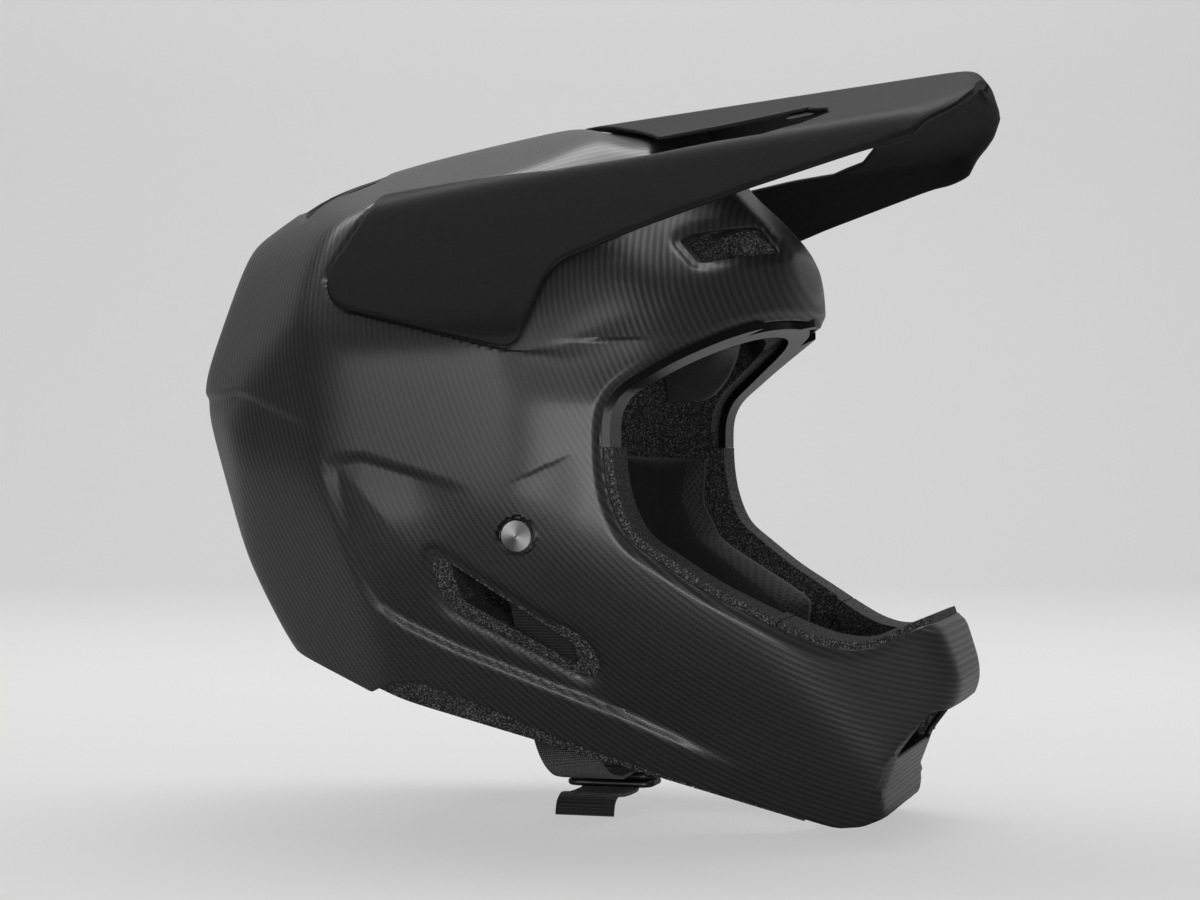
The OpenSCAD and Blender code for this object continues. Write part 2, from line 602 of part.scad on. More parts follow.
// From the anchor down through the foam and under the chin, front view
strap_fall = [[strap_y, disc_z + 8], [strap_y, disc_z - 2], [strap_y - 1, disc_z - 12],
    [strap_y - 9, -64], [70, -110], [58, -126], [40, -136]];
long_turn = [for (a = [90 : -30 : -90]) [-ring_bar[0] - turn_r * cos(a), ring_z + turn_r * sin(a)]];
long_tail = [[8, ring_z - turn_r], [18, ring_z - turn_r + 0.5], [27, ring_z - turn_r + 1.5],
    [33, ring_z - turn_r - 1], [35, ring_z - turn_r - 6]];
long_line = concat(curve(concat(strap_fall, [[20, ring_z + turn_r - 0.5]])),
    long_turn, curve(long_tail));
short_turn = [for (a = [90 : -30 : -90]) [ring_bar[1] - turn_r * cos(a), ring_z + turn_r * sin(a)]];
short_line = concat(curve(concat(strap_fall, [[32, ring_z + turn_r + 2.2], [24, ring_z + turn_r]])),
    short_turn, [[22, ring_z - turn_r], [32, ring_z - turn_r + 1.5]]);
module strap_slot() {
    webbing(curve(strap_fall), strap_t + 2.4, strap_w + 3, strap_x);
    translate([strap_x, anchor_y - 4, disc_z]) translate([-strap_w / 2 - 2, 0, -anchor_h / 2 - 3])
        cube([strap_w + 4, 40, anchor_h + 6]);
}
module strap_left() color([0.08, 0.08, 0.08]) webbing(short_line, strap_t, strap_w, strap_x);
module strap_right() color([0.08, 0.08, 0.08]) mirror([0, 1, 0])
    webbing(long_line, strap_t, strap_w, strap_x);

// Two D-rings, one above the other: straight bars in the loop of the left strap, and the right
// strap turned round their near bars
module d_ring() {
    half = strap_w / 2 + ring_corner + 1;
    side = ring_bar[1] - ring_bar[0] - ring_corner;
    for (s = [-1, 1]) scale([s, 1, 1]) {
        translate([half, ring_bar[1], 0]) rotate([90, 0, 0]) cylinder(d = ring_rod, h = side, $fn = 24);
        translate([half - ring_corner, ring_bar[0] + ring_corner, 0]) rotate([0, 0, -90])
            rotate_extrude(angle = 90, $fn = 48) translate([ring_corner, 0]) circle(d = ring_rod, $fn = 24);
        translate([half, ring_bar[1], 0]) sphere(d = ring_rod, $fn = 24);
    }
    translate([-half, ring_bar[1], 0]) rotate([0, 90, 0]) cylinder(d = ring_rod, h = 2 * half, $fn = 24);
    translate([ring_corner - half, ring_bar[0], 0]) rotate([0, 90, 0])
        cylinder(d = ring_rod, h = 2 * (half - ring_corner), $fn = 24);
}
module d_rings() color([0.55, 0.55, 0.57]) for (s = [-1, 1])
    translate([strap_x, 0, ring_z + s * (ring_rod / 2 + 0.15)]) d_ring();

// Visor: side view of panel, arm and hood
panel_line = [[-41, 96], [pivot_x - pivot_r, pivot_z + 2], [pivot_x - pivot_r, pivot_z],
    [pivot_x - 2, pivot_z - pivot_r + 0.3], [24, 35.8], [27.5, 38.5], [34.5, 64], [40, 70],
    [70, 82.5], [107, 96], [150, 110], [162, 113.5], [174, 119], [184, 131], [visor_x + 4, 138]];
module visor_side_2d() {
    polygon(concat(panel_line, [[visor_x + 10, 170], [-41, 170]]));
    translate([pivot_x, pivot_z]) circle(pivot_r, $fn = 24);
}
// Plan of the hood's front edge and of the opening between the arms
module visor_front_2d() polygon([[-70, -130], [visor_x - 60, -130], [visor_x - 26, -visor_half - 1],
    [visor_x - 17, -visor_half + 8], [visor_x - 5, -52], [visor_x - 1, -30], [visor_x, 0],
    [visor_x - 1, 30], [visor_x - 5, 52], [visor_x - 17, visor_half - 8],
    [visor_x - 26, visor_half + 1], [visor_x - 60, 130], [-70, 130]]);
module mirrored_plan(line) polygon(concat(line, [for (i = [len(line) - 1 : -1 : 0])
    [line[i][0], -line[i][1]]]));
tongue_line = [[25, -1.5], [38, -13], [52, -30], [62, -44], [66.5, -52], [94, -45.5], [122, -35],
    [133, -20], [140, -6], [141, -2]];
module tongue_2d() mirrored_plan(tongue_line);
module arms_gap_2d() union() {
    mirrored_plan([for (p = [[-80, 45], [-41, 41], [30, 38], [70, 40], [95, 43], [113, 44], [127, 50],
        [136, 65], [133, 77], [124, 82]]) [p[0], p[1] - side_d]]);
    offset(delta = 1) tongue_2d();
}
module visor_layer(from, to) difference() {
    visor_form(from);
    visor_form(to);
}
tongue_t = visor_t - 0.6;
lap_gap = 0.2;
pin_play = 0.1;
module visor_hood() color([0.09, 0.09, 0.09]) as_one() difference() {
    intersection() {
        union() {
            difference() {
                visor_layer(0, visor_t);
                linear_extrude(far) arms_gap_2d();
            }
            intersection() {
                visor_layer(tongue_t + lap_gap, visor_t + 1.2);
                linear_extrude(far) lap_2d();
            }
        }
        across() visor_side_2d();
        linear_extrude(far) visor_front_2d();
    }
    for (s = [-1, 1]) scale([1, s, 1]) intersection() {
        union() {
            peg_place() cylinder(d = peg_d + 2 * pin_play, h = 60, center = true, $fn = 24);
            guide_place() cylinder(d = guide_d + 2 * pin_play, h = 60, center = true, $fn = 24);
        }
        visor_form(1);
    }
    // Room behind the pivot, where the panel sinks towards its seat as the front goes up
    translate([pivot_x, 0, pivot_z]) rotate([0, visor_tilt, 0]) translate([-pivot_x, 0, -pivot_z])
        shell_form(-fit, seat_depth);
    screw_holes();
}
// The lap under the front of the tongue that carries it
module lap_2d() intersection() {
    difference() {
        offset(delta = 6) tongue_2d();
        offset(delta = -7) tongue_2d();
    }
    translate([116, -60]) square([40, 120]);
}
module visor_tongue() color([0.07, 0.07, 0.07]) as_one() difference() {
    intersection() {
        visor_layer(0, tongue_t);
        linear_extrude(far) tongue_2d();
    }
    screw_holes();
}
screw_places = [[126, -24], [126, 24]];
function tongue_z(x, y) = ridge_z + ridge_rise * x - visor_slope * abs(y);
screw_d = 3;
module screw_holes() for (p = screw_places) translate([p[0], p[1], tongue_z(p[0], p[1]) - 9])
    cylinder(d = screw_d + 2 * pin_play, h = 9 - tongue_t + 0.6, $fn = 16);
module tongue_screws() color([0.35, 0.35, 0.36]) for (p = screw_places)
    translate([p[0], p[1], tongue_z(p[0], p[1])]) {
        translate([0, 0, -8]) cylinder(d = screw_d, h = 8 - tongue_t + 0.2, $fn = 24);
        translate([0, 0, -9.6]) cylinder(d = screw_d * 2, h = 1.8, $fn = 24);
    }

// Pegs of the visor in bushes in the shell, and guide pins in arc slots
pivot_y = shell_half(pivot_x, pivot_z, 0, seat_depth);
pivot_lean = shell_lean_at(pivot_x, pivot_z, 0, seat_depth);
guide_x = pivot_x + guide_r * cos(guide_turn);
guide_z = pivot_z + guide_r * sin(guide_turn);
guide_y = shell_half(guide_x, guide_z, 0, seat_depth);
module peg_place() translate([pivot_x, pivot_y, pivot_z]) rotate([-90, 0, 0]) children();
module guide_place() translate([guide_x, guide_y, guide_z]) rotate([-90, 0, 0]) children();
bush_low = 15;
// How far pegs and guide pins reach out of the seat, into the panel
pin_out = 1.1;
bush_high = bush_d / 2 * tan(pivot_lean) + 0.8;
// A pin along Y whose outer end leans with the visor panel
module leaning_pin(d, length, lean, reach) intersection() {
    translate([0, 0, -length]) cylinder(d = d, h = length + 12, $fn = 48);
    rotate([lean, 0, 0]) translate([-20, -20, -60]) cube([40, 40, 60 + reach]);
}
module visor_peg(side) color([0.5, 0.5, 0.52]) scale([1, side, 1]) peg_place()
    leaning_pin(peg_d, bush_low - 1, pivot_lean, pin_out);
module guide_pin(side) color([0.5, 0.5, 0.52]) scale([1, side, 1]) guide_place()
    leaning_pin(guide_d, 10, shell_lean_at(guide_x, guide_z, 0, seat_depth), pin_out);
module visor_bush(side) color([0.82, 0.8, 0.75]) scale([1, side, 1]) peg_place()
    translate([0, 0, -bush_low]) rotate_extrude($fn = 64) polygon([
        [peg_d / 2 + peg_play, 0], [bush_d / 2 + 2, 0], [bush_d / 2 + 2, 2], [bush_d / 2, 2],
        [bush_d / 2, bush_low - bush_high], [peg_d / 2 + peg_play, bush_low - bush_high]]);

// Chin vent: a frame lining the hole under the beak, and its mesh
vent_back = 139;
module chin_vent_frame() color([0.07, 0.07, 0.07]) as_one() intersection() {
    translate([vent_back, 0, 0]) rotate([90, 0, 90]) linear_extrude(60) difference() {
        chin_vent_2d(vent_frame_t);
        chin_vent_2d(0);
    }
    skin(0.5);
}
module chin_vent_mesh() color([0.16, 0.16, 0.16]) translate([vent_back + 3, 0, 0])
    rotate([90, 0, 90]) linear_extrude(mesh_t) difference() {
        chin_vent_2d(-0.2);
        for (y = [-mouth_half + 14 : 5 : mouth_half - 13]) for (k = [0 : 2])
            translate([y, -108 - vent_h + 4 + k * 4.6]) square([3.4, 3], center = true);
    }

// Grilles in the vents at the top of the back, a little below the outside of the shell
grille_in = 0.6;
grille_t = 1.6;
module rear_grille(side) color([0.08, 0.08, 0.08]) as_one() scale([1, side, 1]) intersection() {
    difference() {
        shell_form(grille_in);
        shell_form(shell_t - fit);
    }
    union() {
        across(rear_vent_y[0] + fit, rear_vent_y[1] - fit) difference() {
            offset(delta = -fit) rear_vent_2d();
            offset(delta = -fit - grille_t) rear_vent_2d();
        }
        for (y = [rear_vent_y[0] + fit : louvre_step : rear_vent_y[1] - grille_t - fit])
            across(y, y + grille_t) offset(delta = -fit) rear_vent_2d();
    }
}

outer_shell();
head_foam();
cheek_foam(1);  // cheek_foam_left
cheek_foam(-1);  // cheek_foam_right
chin_foam();
brow_frame();
crown_pad();
brow_pad();
neck_roll();
cheek_pad(1);  // cheek_pad_left
cheek_pad(-1);  // cheek_pad_right
cheek_studs(1);  // cheek_studs_left
cheek_studs(-1);  // cheek_studs_right
side_disc(1);  // side_disc_left
side_disc(-1);  // side_disc_right
strap_anchor(1);  // strap_anchor_left
strap_anchor(-1);  // strap_anchor_right
strap_left();
strap_right();
d_rings();
visor_hood();
visor_tongue();
tongue_screws();
visor_peg(1);  // visor_peg_left
visor_peg(-1);  // visor_peg_right
guide_pin(1);  // guide_pin_left
guide_pin(-1);  // guide_pin_right
visor_bush(1);  // visor_bush_left
visor_bush(-1);  // visor_bush_right
chin_vent_frame();
chin_vent_mesh();
rear_grille(1);  // rear_grille_left
rear_grille(-1);  // rear_grille_right
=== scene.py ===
import math

import bmesh
import bpy
import numpy as np
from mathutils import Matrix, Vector


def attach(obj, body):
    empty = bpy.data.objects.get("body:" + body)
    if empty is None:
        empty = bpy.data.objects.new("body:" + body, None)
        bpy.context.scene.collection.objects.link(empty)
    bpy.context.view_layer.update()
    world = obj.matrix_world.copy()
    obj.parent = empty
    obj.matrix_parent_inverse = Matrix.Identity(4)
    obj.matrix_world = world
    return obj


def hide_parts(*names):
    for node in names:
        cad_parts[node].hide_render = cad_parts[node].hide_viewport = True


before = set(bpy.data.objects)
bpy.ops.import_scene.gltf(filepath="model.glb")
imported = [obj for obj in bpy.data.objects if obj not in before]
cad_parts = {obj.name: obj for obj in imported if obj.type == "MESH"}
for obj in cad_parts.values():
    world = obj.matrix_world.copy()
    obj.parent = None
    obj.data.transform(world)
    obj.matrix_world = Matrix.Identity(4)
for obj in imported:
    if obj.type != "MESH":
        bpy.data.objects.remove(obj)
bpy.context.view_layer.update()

# Camera: a long lens, level with the helmet, 16 degrees round towards its face.
# Lengths here are millimetres until they go into a mesh, which is in metres.
MM = 0.001
view_turn = math.radians(16)
view_distance, view_aside, view_height = 1100, 25.5, -4.26
camera_back = np.array([math.sin(view_turn), -math.cos(view_turn), 0])
camera_right = np.array([math.cos(view_turn), math.sin(view_turn), 0])
camera_at = camera_back * view_distance + camera_right * view_aside + np.array([0, 0, view_height])
lens = bpy.data.cameras.new("camera")
lens.lens = 77.55
lens.sensor_width = 36
camera = bpy.data.objects.new("camera", lens)
camera.location = camera_at * MM
camera.rotation_euler = (math.radians(90), 0, view_turn)
bpy.context.scene.collection.objects.link(camera)
bpy.context.scene.camera = camera

# Carbon shell and chin bar: one moulding of twill carbon under a satin clear coat.
# Flat panels meet in soft corners; edges of the openings are rolled in. The visor's side
# panels lie in seats, and a swept step runs round the lower side from the back to the chin.
shell_wall = 2.2
seat_depth = 1.6
shell_power = 50
outer_low, outer_high = (-140.4, -119.4, -160), (189.9, 119.4, 149.2)
side_d, crown_d, rear_d, face_d, chin_d, base_d = 118.8, 125.1, 139.8, 136.6, 209.9, 106
shell_panels = [  # degrees round from the front, degrees up, distance, share of the seat depth
    (180, 79.3, crown_d, 0), (180, 67, crown_d + 2.5, 0), (180, 10.5, rear_d, 0),
    (180, -25.5, rear_d - 19.9, 0), (0, 67.2, crown_d + 5.6, 0), (0, 45.2, face_d, 0),
    (0, 21.7, face_d, 0), (0, -30.8, chin_d, 0), (180, -49.1, base_d + 20.3, 0),
    (90, 0, side_d, 1), (112.8, 65.7, crown_d - 0.9, 1), (91.3, 30.7, side_d + 3.5, 1),
    (70.3, 0, side_d + 0.5, 0.6), (52.9, 0, side_d + 20.4, 0), (121, 0, side_d + 11.5, 1),
    (148, -10.8, rear_d - 6.6, 1), (138.2, 41.3, rear_d - 4.6, 1), (138.2, 22.2, rear_d - 8.4, 1),
    (42.1, 33.4, face_d - 3.5, 0), (64.2, 46.5, crown_d + 6.7, 0.6), (83.7, -25, side_d + 3.2, 0),
    (124.7, -23, base_d + 18.9, 0)]
brow_round = 121.5
port_outline = [(260, 52), (119, 49.7), (108, 47.2), (95, 41), (81, 33), (62, 20), (57, 10), (57, -10),
                (59.5, -25), (66, -39.5), (92.5, -58.5), (121, -74.3), (134, -80.5), (146, -83), (157, -81.5),
                (172, -73), (260, -68)]
shell_edge = [(-200, -51), (-46, -100.4), (-34.6, -95.8), (-21.5, -95.2), (-9.6, -99.2), (12.7, -108.5),
              (32.2, -117.6), (62, -128.4), (88, -137.7), (137, -152.6), (147, -151.8), (156, -148.5),
              (300, -110)]
side_vent = [(-10.2, -43), (-5.8, -43), (46.8, -79.5), (50.2, -88.7), (48.8, -93.6), (45.1, -95.2),
             (-6.8, -67.4), (-10.6, -54.4)]
forehead_vent = [(78, 78), (82, 82), (103, 87.5), (113.5, 74.5), (88, 67)]
rear_vent = [(-97, 99), (-60, 115.5), (-56, 108), (-87, 92)]
chin_vent = [(-44.3, -127.3), (44.3, -127.3), (44.3, -105.7), (-44.3, -105.7)]
pivot = (-40, 65)
bush_hole, pin_reach, pin_hole = 6.65, 52, 2.9
seat_side = [(-43.5, 150), (-43.5, 97), (-56.5, 67.5), (-56.5, 64.5), (-43.5, 49.5), (24, 33.5), (44, 32.5),
             (88, 45), (130, 56), (130, 150)]
seat_plan = [(-150, 30), (-42, 77), (30, 82), (85, 75), (118, 58), (150, 40), (150, 150), (-150, 150)]
mouth_half, mouth_flat = 62, 46
mouth_line = [(191, -101), (170, -110.5), (161, -123), (155.5, -138), (157, -170), (215, -170), (215, -101)]
swept_step = [(16.1, -20.6), (4.8, -17.6), (-15.5, -11.5), (-35.2, -5.8), (-46.7, -5.2), (-51.6, -8.1),
              (-52, -13.6), (-49.2, -27.9), (-45.7, -43.8), (-41.1, -57.2), (-34.9, -66.3), (-23.7, -73.7),
              (-4.9, -83.4), (25.3, -96.2), (56.3, -108.9), (84.9, -122.5), (112.2, -133.7)]
swept_side = swept_step + [(140, -60), (60, 0)]
rear_step = [(-200, 22), (-119.3, 19.5), (-103.1, 20.8), (-94.2, 19.4), (-59.2, 7.4), (-18.7, -7.3)]
rear_zone = [(-44, -75), (-70, -200), (-200, -200)]
rear_shift = np.array([2.2, 0, -3.6])
rear_clear = 0.5
crown_power, crown_blend, brow_power = 60, 110, 40
disc_centre = (26, -37)
disc_face = 112.66


def facing(turn, up):
    """The direction at a turn from the front and a height, both in degrees."""
    turn, up = math.radians(turn), math.radians(up)
    return math.cos(up) * math.cos(turn), math.cos(up) * math.sin(turn), math.sin(up)


def both_sides(panels):
    """Planes as rows of direction, distance and share; those off the middle are mirrored."""
    return np.array([(*facing(turn * side, up), distance, share) for turn, up, distance, share in panels
                     for side in ((1,) if turn in (0, 180) else (1, -1))])


def unit(rows):
    """Rows of numbers, each brought to length 1."""
    return rows / np.linalg.norm(rows, axis=1)[:, None]


def form(aim, planes, power, inset=0.0, seat=0.0):
    """Points of the soft cornered form in these directions, and its outward normals there."""
    distance = planes[:, 3] - inset - planes[:, 4] * np.atleast_1d(seat)[:, None]
    part = np.maximum(0, aim @ planes[:, :3].T) / distance
    most = part.max(1)[:, None]
    points = aim / most * ((part / most) ** power).sum(1)[:, None] ** (-1 / power)
    return points, unit(((part / most) ** (power - 1) / distance) @ planes[:, :3])


def net(turns, ups):
    """Directions at turns and ups in degrees, closed round the top, and the triangles between them."""
    turn, up = np.radians(np.meshgrid(turns, ups[:-1]))
    aim = np.column_stack([(np.cos(up) * np.cos(turn)).ravel(), (np.cos(up) * np.sin(turn)).ravel(),
                           np.sin(up).ravel()])
    aim = np.vstack([aim, (0, 0, 1)])
    columns, rows = len(turns), len(ups) - 1
    at = np.arange(columns * rows).reshape(rows, columns)
    a, b = at[:-1], np.roll(at[:-1], -1, 1)
    d, c = at[1:], np.roll(at[1:], -1, 1)
    last = at[-1]
    cap = np.column_stack([last, np.roll(last, -1), np.full(columns, columns * rows)])
    return aim, np.vstack([np.column_stack([a.ravel(), b.ravel(), c.ravel()]),
                           np.column_stack([a.ravel(), c.ravel(), d.ravel()]), cap])


ridge_turn = math.degrees(math.atan2(0.33, -0.112))
ridge_up = math.degrees(math.atan2(1, math.hypot(0.33, 0.112)))
crown_ridge_d = 129.5 * 1.0087 / 1.059 - 3.6
crown_planes = both_sides([
    (ridge_turn, ridge_up, crown_ridge_d, 0), (180, 79, crown_d - 2.1, 0), (0, 30, face_d - 9.4, 0),
    (45, 40, face_d - 3, 0), (90, 35, side_d - 9.4, 0)])


def moulded(aim, inset=0.0, seat=0.0):
    """The form with its raised crown under the visor's tongue and its brow rounded in plan."""
    points, normals = form(aim, shell_planes, shell_power, inset, seat)
    over = np.nonzero((aim[:, 2] > 0.3) & (points[:, 0] > -14))[0]
    crown, lean = form(aim[over], crown_planes, crown_power, inset)
    ratio = (np.linalg.norm(crown, axis=1) / np.linalg.norm(points[over], axis=1)) ** crown_blend
    share = ease(points[over, 0], -14, 16)[:, None]
    points[over] *= 1 + ((1 + ratio[:, None]) ** (1 / crown_blend) - 1) * share
    part = (ratio / (1 + ratio))[:, None] * share
    normals[over] = normals[over] * (1 - part) + lean * part
    flat = np.hypot(points[:, 0], points[:, 1]) + 1e-9
    at_brow, ahead = ease(aim[:, 2], 0.1, 0.28), ease(aim[:, 0], 0.1, 0.3)
    ratio = (flat / (brow_round - inset)) ** brow_power * at_brow * ahead
    points *= (1 + ratio[:, None]) ** (-1 / brow_power)
    lean = np.column_stack([points[:, 0] / flat, points[:, 1] / flat, np.zeros(len(flat))])
    part = (ratio / (1 + ratio))[:, None]
    normals = normals * (1 - part) + lean * part
    return points, unit(normals)


def rear_depth(points, normals, inset=0.0):
    """How far under these points the lower back lies: the whole form moved forward and down."""
    depth = np.zeros(len(points))
    for _ in range(4):
        away = points - normals * depth[:, None] - rear_shift
        below, lean = form(away, shell_planes, shell_power, inset - rear_clear)
        depth += ((away - below) * lean).sum(1)
    return np.maximum(depth, 0)


def line_distance(x, z, line, closed=False):
    """How far points are from a line of straight pieces, in a flat view."""
    line = np.array(line, float)
    starts, ends = (line, np.roll(line, -1, 0)) if closed else (line[:-1], line[1:])
    best = np.full(len(x), 1e9)
    for (ax, az), (bx, bz) in zip(starts, ends):
        length = (bx - ax) ** 2 + (bz - az) ** 2
        along = np.clip(((x - ax) * (bx - ax) + (z - az) * (bz - az)) / length, 0, 1)
        best = np.minimum(best, np.hypot(x - ax - along * (bx - ax), z - az - along * (bz - az)))
    return best


def is_inside(x, z, outline):
    """Which points lie inside a closed outline."""
    hits = np.zeros(len(x), bool)
    for (ax, az), (bx, bz) in zip(outline, outline[1:] + outline[:1]):
        if az != bz:
            hits ^= ((az > z) != (bz > z)) & (x < (bx - ax) * (z - az) / (bz - az) + ax)
    return hits


def outside_by(x, z, outline):
    """Distance outside a closed outline; negative inside it."""
    return np.where(is_inside(x, z, outline), -1, 1) * line_distance(x, z, outline, True)


def outside_seat(x, y, z):
    """Distance outside the visor's seat, by the side view and the plan; y is the distance aside."""
    by_side = np.minimum(outside_by(x, z, seat_side), np.hypot(x - pivot[0], z - pivot[1]) - 15)
    return np.maximum(by_side, outside_by(x, y, seat_plan))


def rounded(outline, radius, pieces=5):
    """The outline with each corner turned into a short curve."""
    result, count = [], len(outline)
    for i in range(count):
        before, corner, after = (np.array(outline[k % count], float) for k in (i - 1, i, i + 1))
        to_before, to_after = before - corner, after - corner
        a = corner + to_before * min(0.45, radius / np.linalg.norm(to_before))
        b = corner + to_after * min(0.45, radius / np.linalg.norm(to_after))
        for t in np.linspace(0, 1, pieces):
            result.append(tuple((1 - t) ** 2 * a + 2 * t * (1 - t) * corner + t * t * b))
    return result


def ease(value, start, end):
    """0 before start, 1 past end, smooth between."""
    t = np.clip((value - start) / (end - start), 0, 1)
    return t * t * (3 - 2 * t)


def cut(table, triangles, keep):
    """Cuts a net of triangles along the line where keep is 0 and leaves the side above it.
    Points close to the line move onto it, and every column of the table goes with them."""
    table, keep, before = table.copy(), keep.copy(), table
    a, b = np.unique(np.sort(triangles[:, [0, 1, 1, 2, 2, 0]].reshape(-1, 2), 1), axis=0).T
    across = keep[a] * keep[b] < 0
    a, b = a[across], b[across]
    share = keep[a] / (keep[a] - keep[b])
    for close, end, other, part in ((share < 0.3, a, b, share), (share > 0.7, b, a, 1 - share)):
        end, other, part = end[close], other[close], part[close][:, None]
        table[end] = before[end] * (1 - part) + before[other] * part
        keep[end] = 0
    side = np.sign(keep)[triangles]
    whole = triangles[(side >= 0).all(1) & (side > 0).any(1)]
    split = triangles[(side < 0).any(1) & (side > 0).any(1)]
    made, index, parts = [], {}, []
    for triangle in split.tolist():
        loop = []
        for i, j in zip(triangle, triangle[1:] + triangle[:1]):
            if keep[i] >= 0:
                loop.append(i)
            if keep[i] * keep[j] < 0:
                key = (min(i, j), max(i, j))
                if key not in index:
                    t = keep[i] / (keep[i] - keep[j])
                    index[key] = len(table) + len(made)
                    made.append(table[i] * (1 - t) + table[j] * t)
                loop.append(index[key])
        parts += [(loop[0], loop[k], loop[k + 1]) for k in range(1, len(loop) - 1)]
    if made:
        table = np.vstack([table, made])
    triangles = np.vstack([whole, np.array(parts, int).reshape(-1, 3)])
    used, triangles = np.unique(triangles, return_inverse=True)
    return table[used], triangles.reshape(-1, 3)


def open_edges(triangles):
    """Edges with a triangle on one side only, each in that triangle's direction."""
    edges = triangles[:, [0, 1, 1, 2, 2, 0]].reshape(-1, 2)
    size = edges.max() + 1
    forward, backward = edges[:, 0] * size + edges[:, 1], edges[:, 1] * size + edges[:, 0]
    return edges[~np.isin(forward, backward)]


def with_wall(points, normals, triangles, wall, pieces=4, inner=None):
    """A sheet with a wall behind it and half round rims along its open edges.
    inner says which triangles the inner sheet has. Returns points, triangles and each point's source."""
    wall = np.broadcast_to(np.asarray(wall, float), len(points))[:, None]
    edges = open_edges(triangles)
    i, j = edges.T
    out = np.cross(points[j] - points[i], normals[i])
    out /= np.linalg.norm(out, axis=1)[:, None] + 1e-9
    aside = np.zeros_like(points)
    np.add.at(aside, i, out)
    np.add.at(aside, j, out)
    rim = np.unique(edges)
    place = np.full(len(points), -1)
    place[rim] = np.arange(len(rim))
    side = aside[rim] / (np.linalg.norm(aside[rim], axis=1)[:, None] + 1e-9)
    sheets, sources = [points], [np.arange(len(points))]
    rows = [np.arange(len(points))]
    start = len(points)
    for k in range(1, pieces):
        angle = math.pi * k / pieces
        sheets.append(points[rim] + normals[rim] * wall[rim] / 2 * (math.cos(angle) - 1)
                      + side * wall[rim] / 2 * math.sin(angle))
        sources.append(rim)
        rows.append(np.where(place >= 0, start + place, -1))
        start += len(rim)
    sheets.append(points - normals * wall)
    sources.append(np.arange(len(points)))
    rows.append(start + np.arange(len(points)))
    faces = [triangles]
    for upper, lower in zip(rows, rows[1:]):
        faces.append(np.column_stack([upper[j], upper[i], lower[i]]))
        faces.append(np.column_stack([upper[j], lower[i], lower[j]]))
    behind = triangles if inner is None else triangles[inner]
    faces.append(behind[:, ::-1] + start)
    faces = np.vstack(faces)
    used, faces = np.unique(faces, return_inverse=True)
    return np.vstack(sheets)[used], faces.reshape(-1, 3), np.concatenate(sources)[used]


def put(name, mesh, finish, body="helmet", smooth=35):
    """A mesh as a piece in its finish, riding on its body, with edges sharper than smooth kept sharp."""
    mesh.materials.clear()
    mesh.materials.append(finish)
    mesh.shade_smooth()
    mesh.set_sharp_from_angle(angle=math.radians(smooth))
    piece = bpy.data.objects.new(name, mesh)
    bpy.context.scene.collection.objects.link(piece)
    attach(piece, body)
    return piece


def make_piece(name, points, faces, finish, body="helmet", smooth=35):
    """A piece from points in millimetres, kept within the helmet's outer size."""
    mesh = bpy.data.meshes.new(name)
    mesh.from_pydata((np.clip(points, outer_low, outer_high) * MM).tolist(), [], faces.tolist())
    mesh.update()
    return put(name, mesh, finish, body, smooth)


def add(tree, kind, *inputs, **settings):
    """A node with its settings; each input is a value, another node's output, or None to leave it."""
    made = tree.nodes.new(kind)
    for key, value in settings.items():
        setattr(made, key, value)
    for place, value in enumerate(inputs):
        if isinstance(value, bpy.types.NodeSocket):
            tree.links.new(value, made.inputs[place])
        elif value is not None:
            made.inputs[place].default_value = value
    return made


def maths(tree, operation, *inputs):
    """The output of a sum on values or other outputs."""
    return add(tree, "ShaderNodeMath", *inputs, operation=operation).outputs[0]


def noise(tree, scale, detail, place=None, rough=None):
    """Cloudy noise between 0 and 1."""
    return add(tree, "ShaderNodeTexNoise", place, None, scale, detail, rough).outputs[0]


def total(tree, *parts):
    """The sum of several outputs, each times its share."""
    result = 0.0
    for output, share in parts:
        result = maths(tree, "MULTIPLY_ADD", output, share, result)
    return result


def tint(tree, shader, factor, *stops):
    """Colours the shader in greys or full colours along a factor."""
    made = add(tree, "ShaderNodeValToRGB", factor)
    elements = made.color_ramp.elements
    while len(elements) < len(stops):
        elements.new(0.5)
    for element, (place, colour) in zip(elements, stops):
        element.position = place
        element.color = (*((colour,) * 3 if isinstance(colour, (int, float)) else colour), 1)
    tree.links.new(made.outputs[0], shader.inputs["Base Color"])


def new_finish(name, **sockets):
    """A material with one Principled shader; returns the material, its tree and the shader."""
    finish = bpy.data.materials.new(name)
    finish.use_nodes = True
    shader = finish.node_tree.nodes["Principled BSDF"]
    for key, value in sockets.items():
        socket = shader.inputs[key.replace("_", " ")]
        socket.default_value = (*value, 1) if isinstance(value, tuple) and len(value) == 3 else value
    return finish, finish.node_tree, shader


def mottled(name, scale, dark, light, detail=3.0, **sockets):
    """A finish of one colour, a little uneven."""
    finish, tree, shader = new_finish(name, **sockets)
    tint(tree, shader, noise(tree, scale, detail), dark, light)
    return finish, tree, shader


def bump(tree, shader, height, depth_mm, strength=1.0):
    """Relief on a finish, this deep."""
    made = add(tree, "ShaderNodeBump", strength, depth_mm * MM)
    tree.links.new(height, made.inputs["Height"])
    tree.links.new(made.outputs[0], shader.inputs["Normal"])


# Twill: a 2 over 2 weave. A point's stripe and place along it are in the weave maps, one map for
# each of the three plies that meet at the corners, and the ply map says which one shows.
carbon, tree, shader = new_finish("twill_carbon", Roughness=0.42, Coat_Weight=0.5, Coat_Roughness=0.25,
                                  Coat_IOR=1.5)


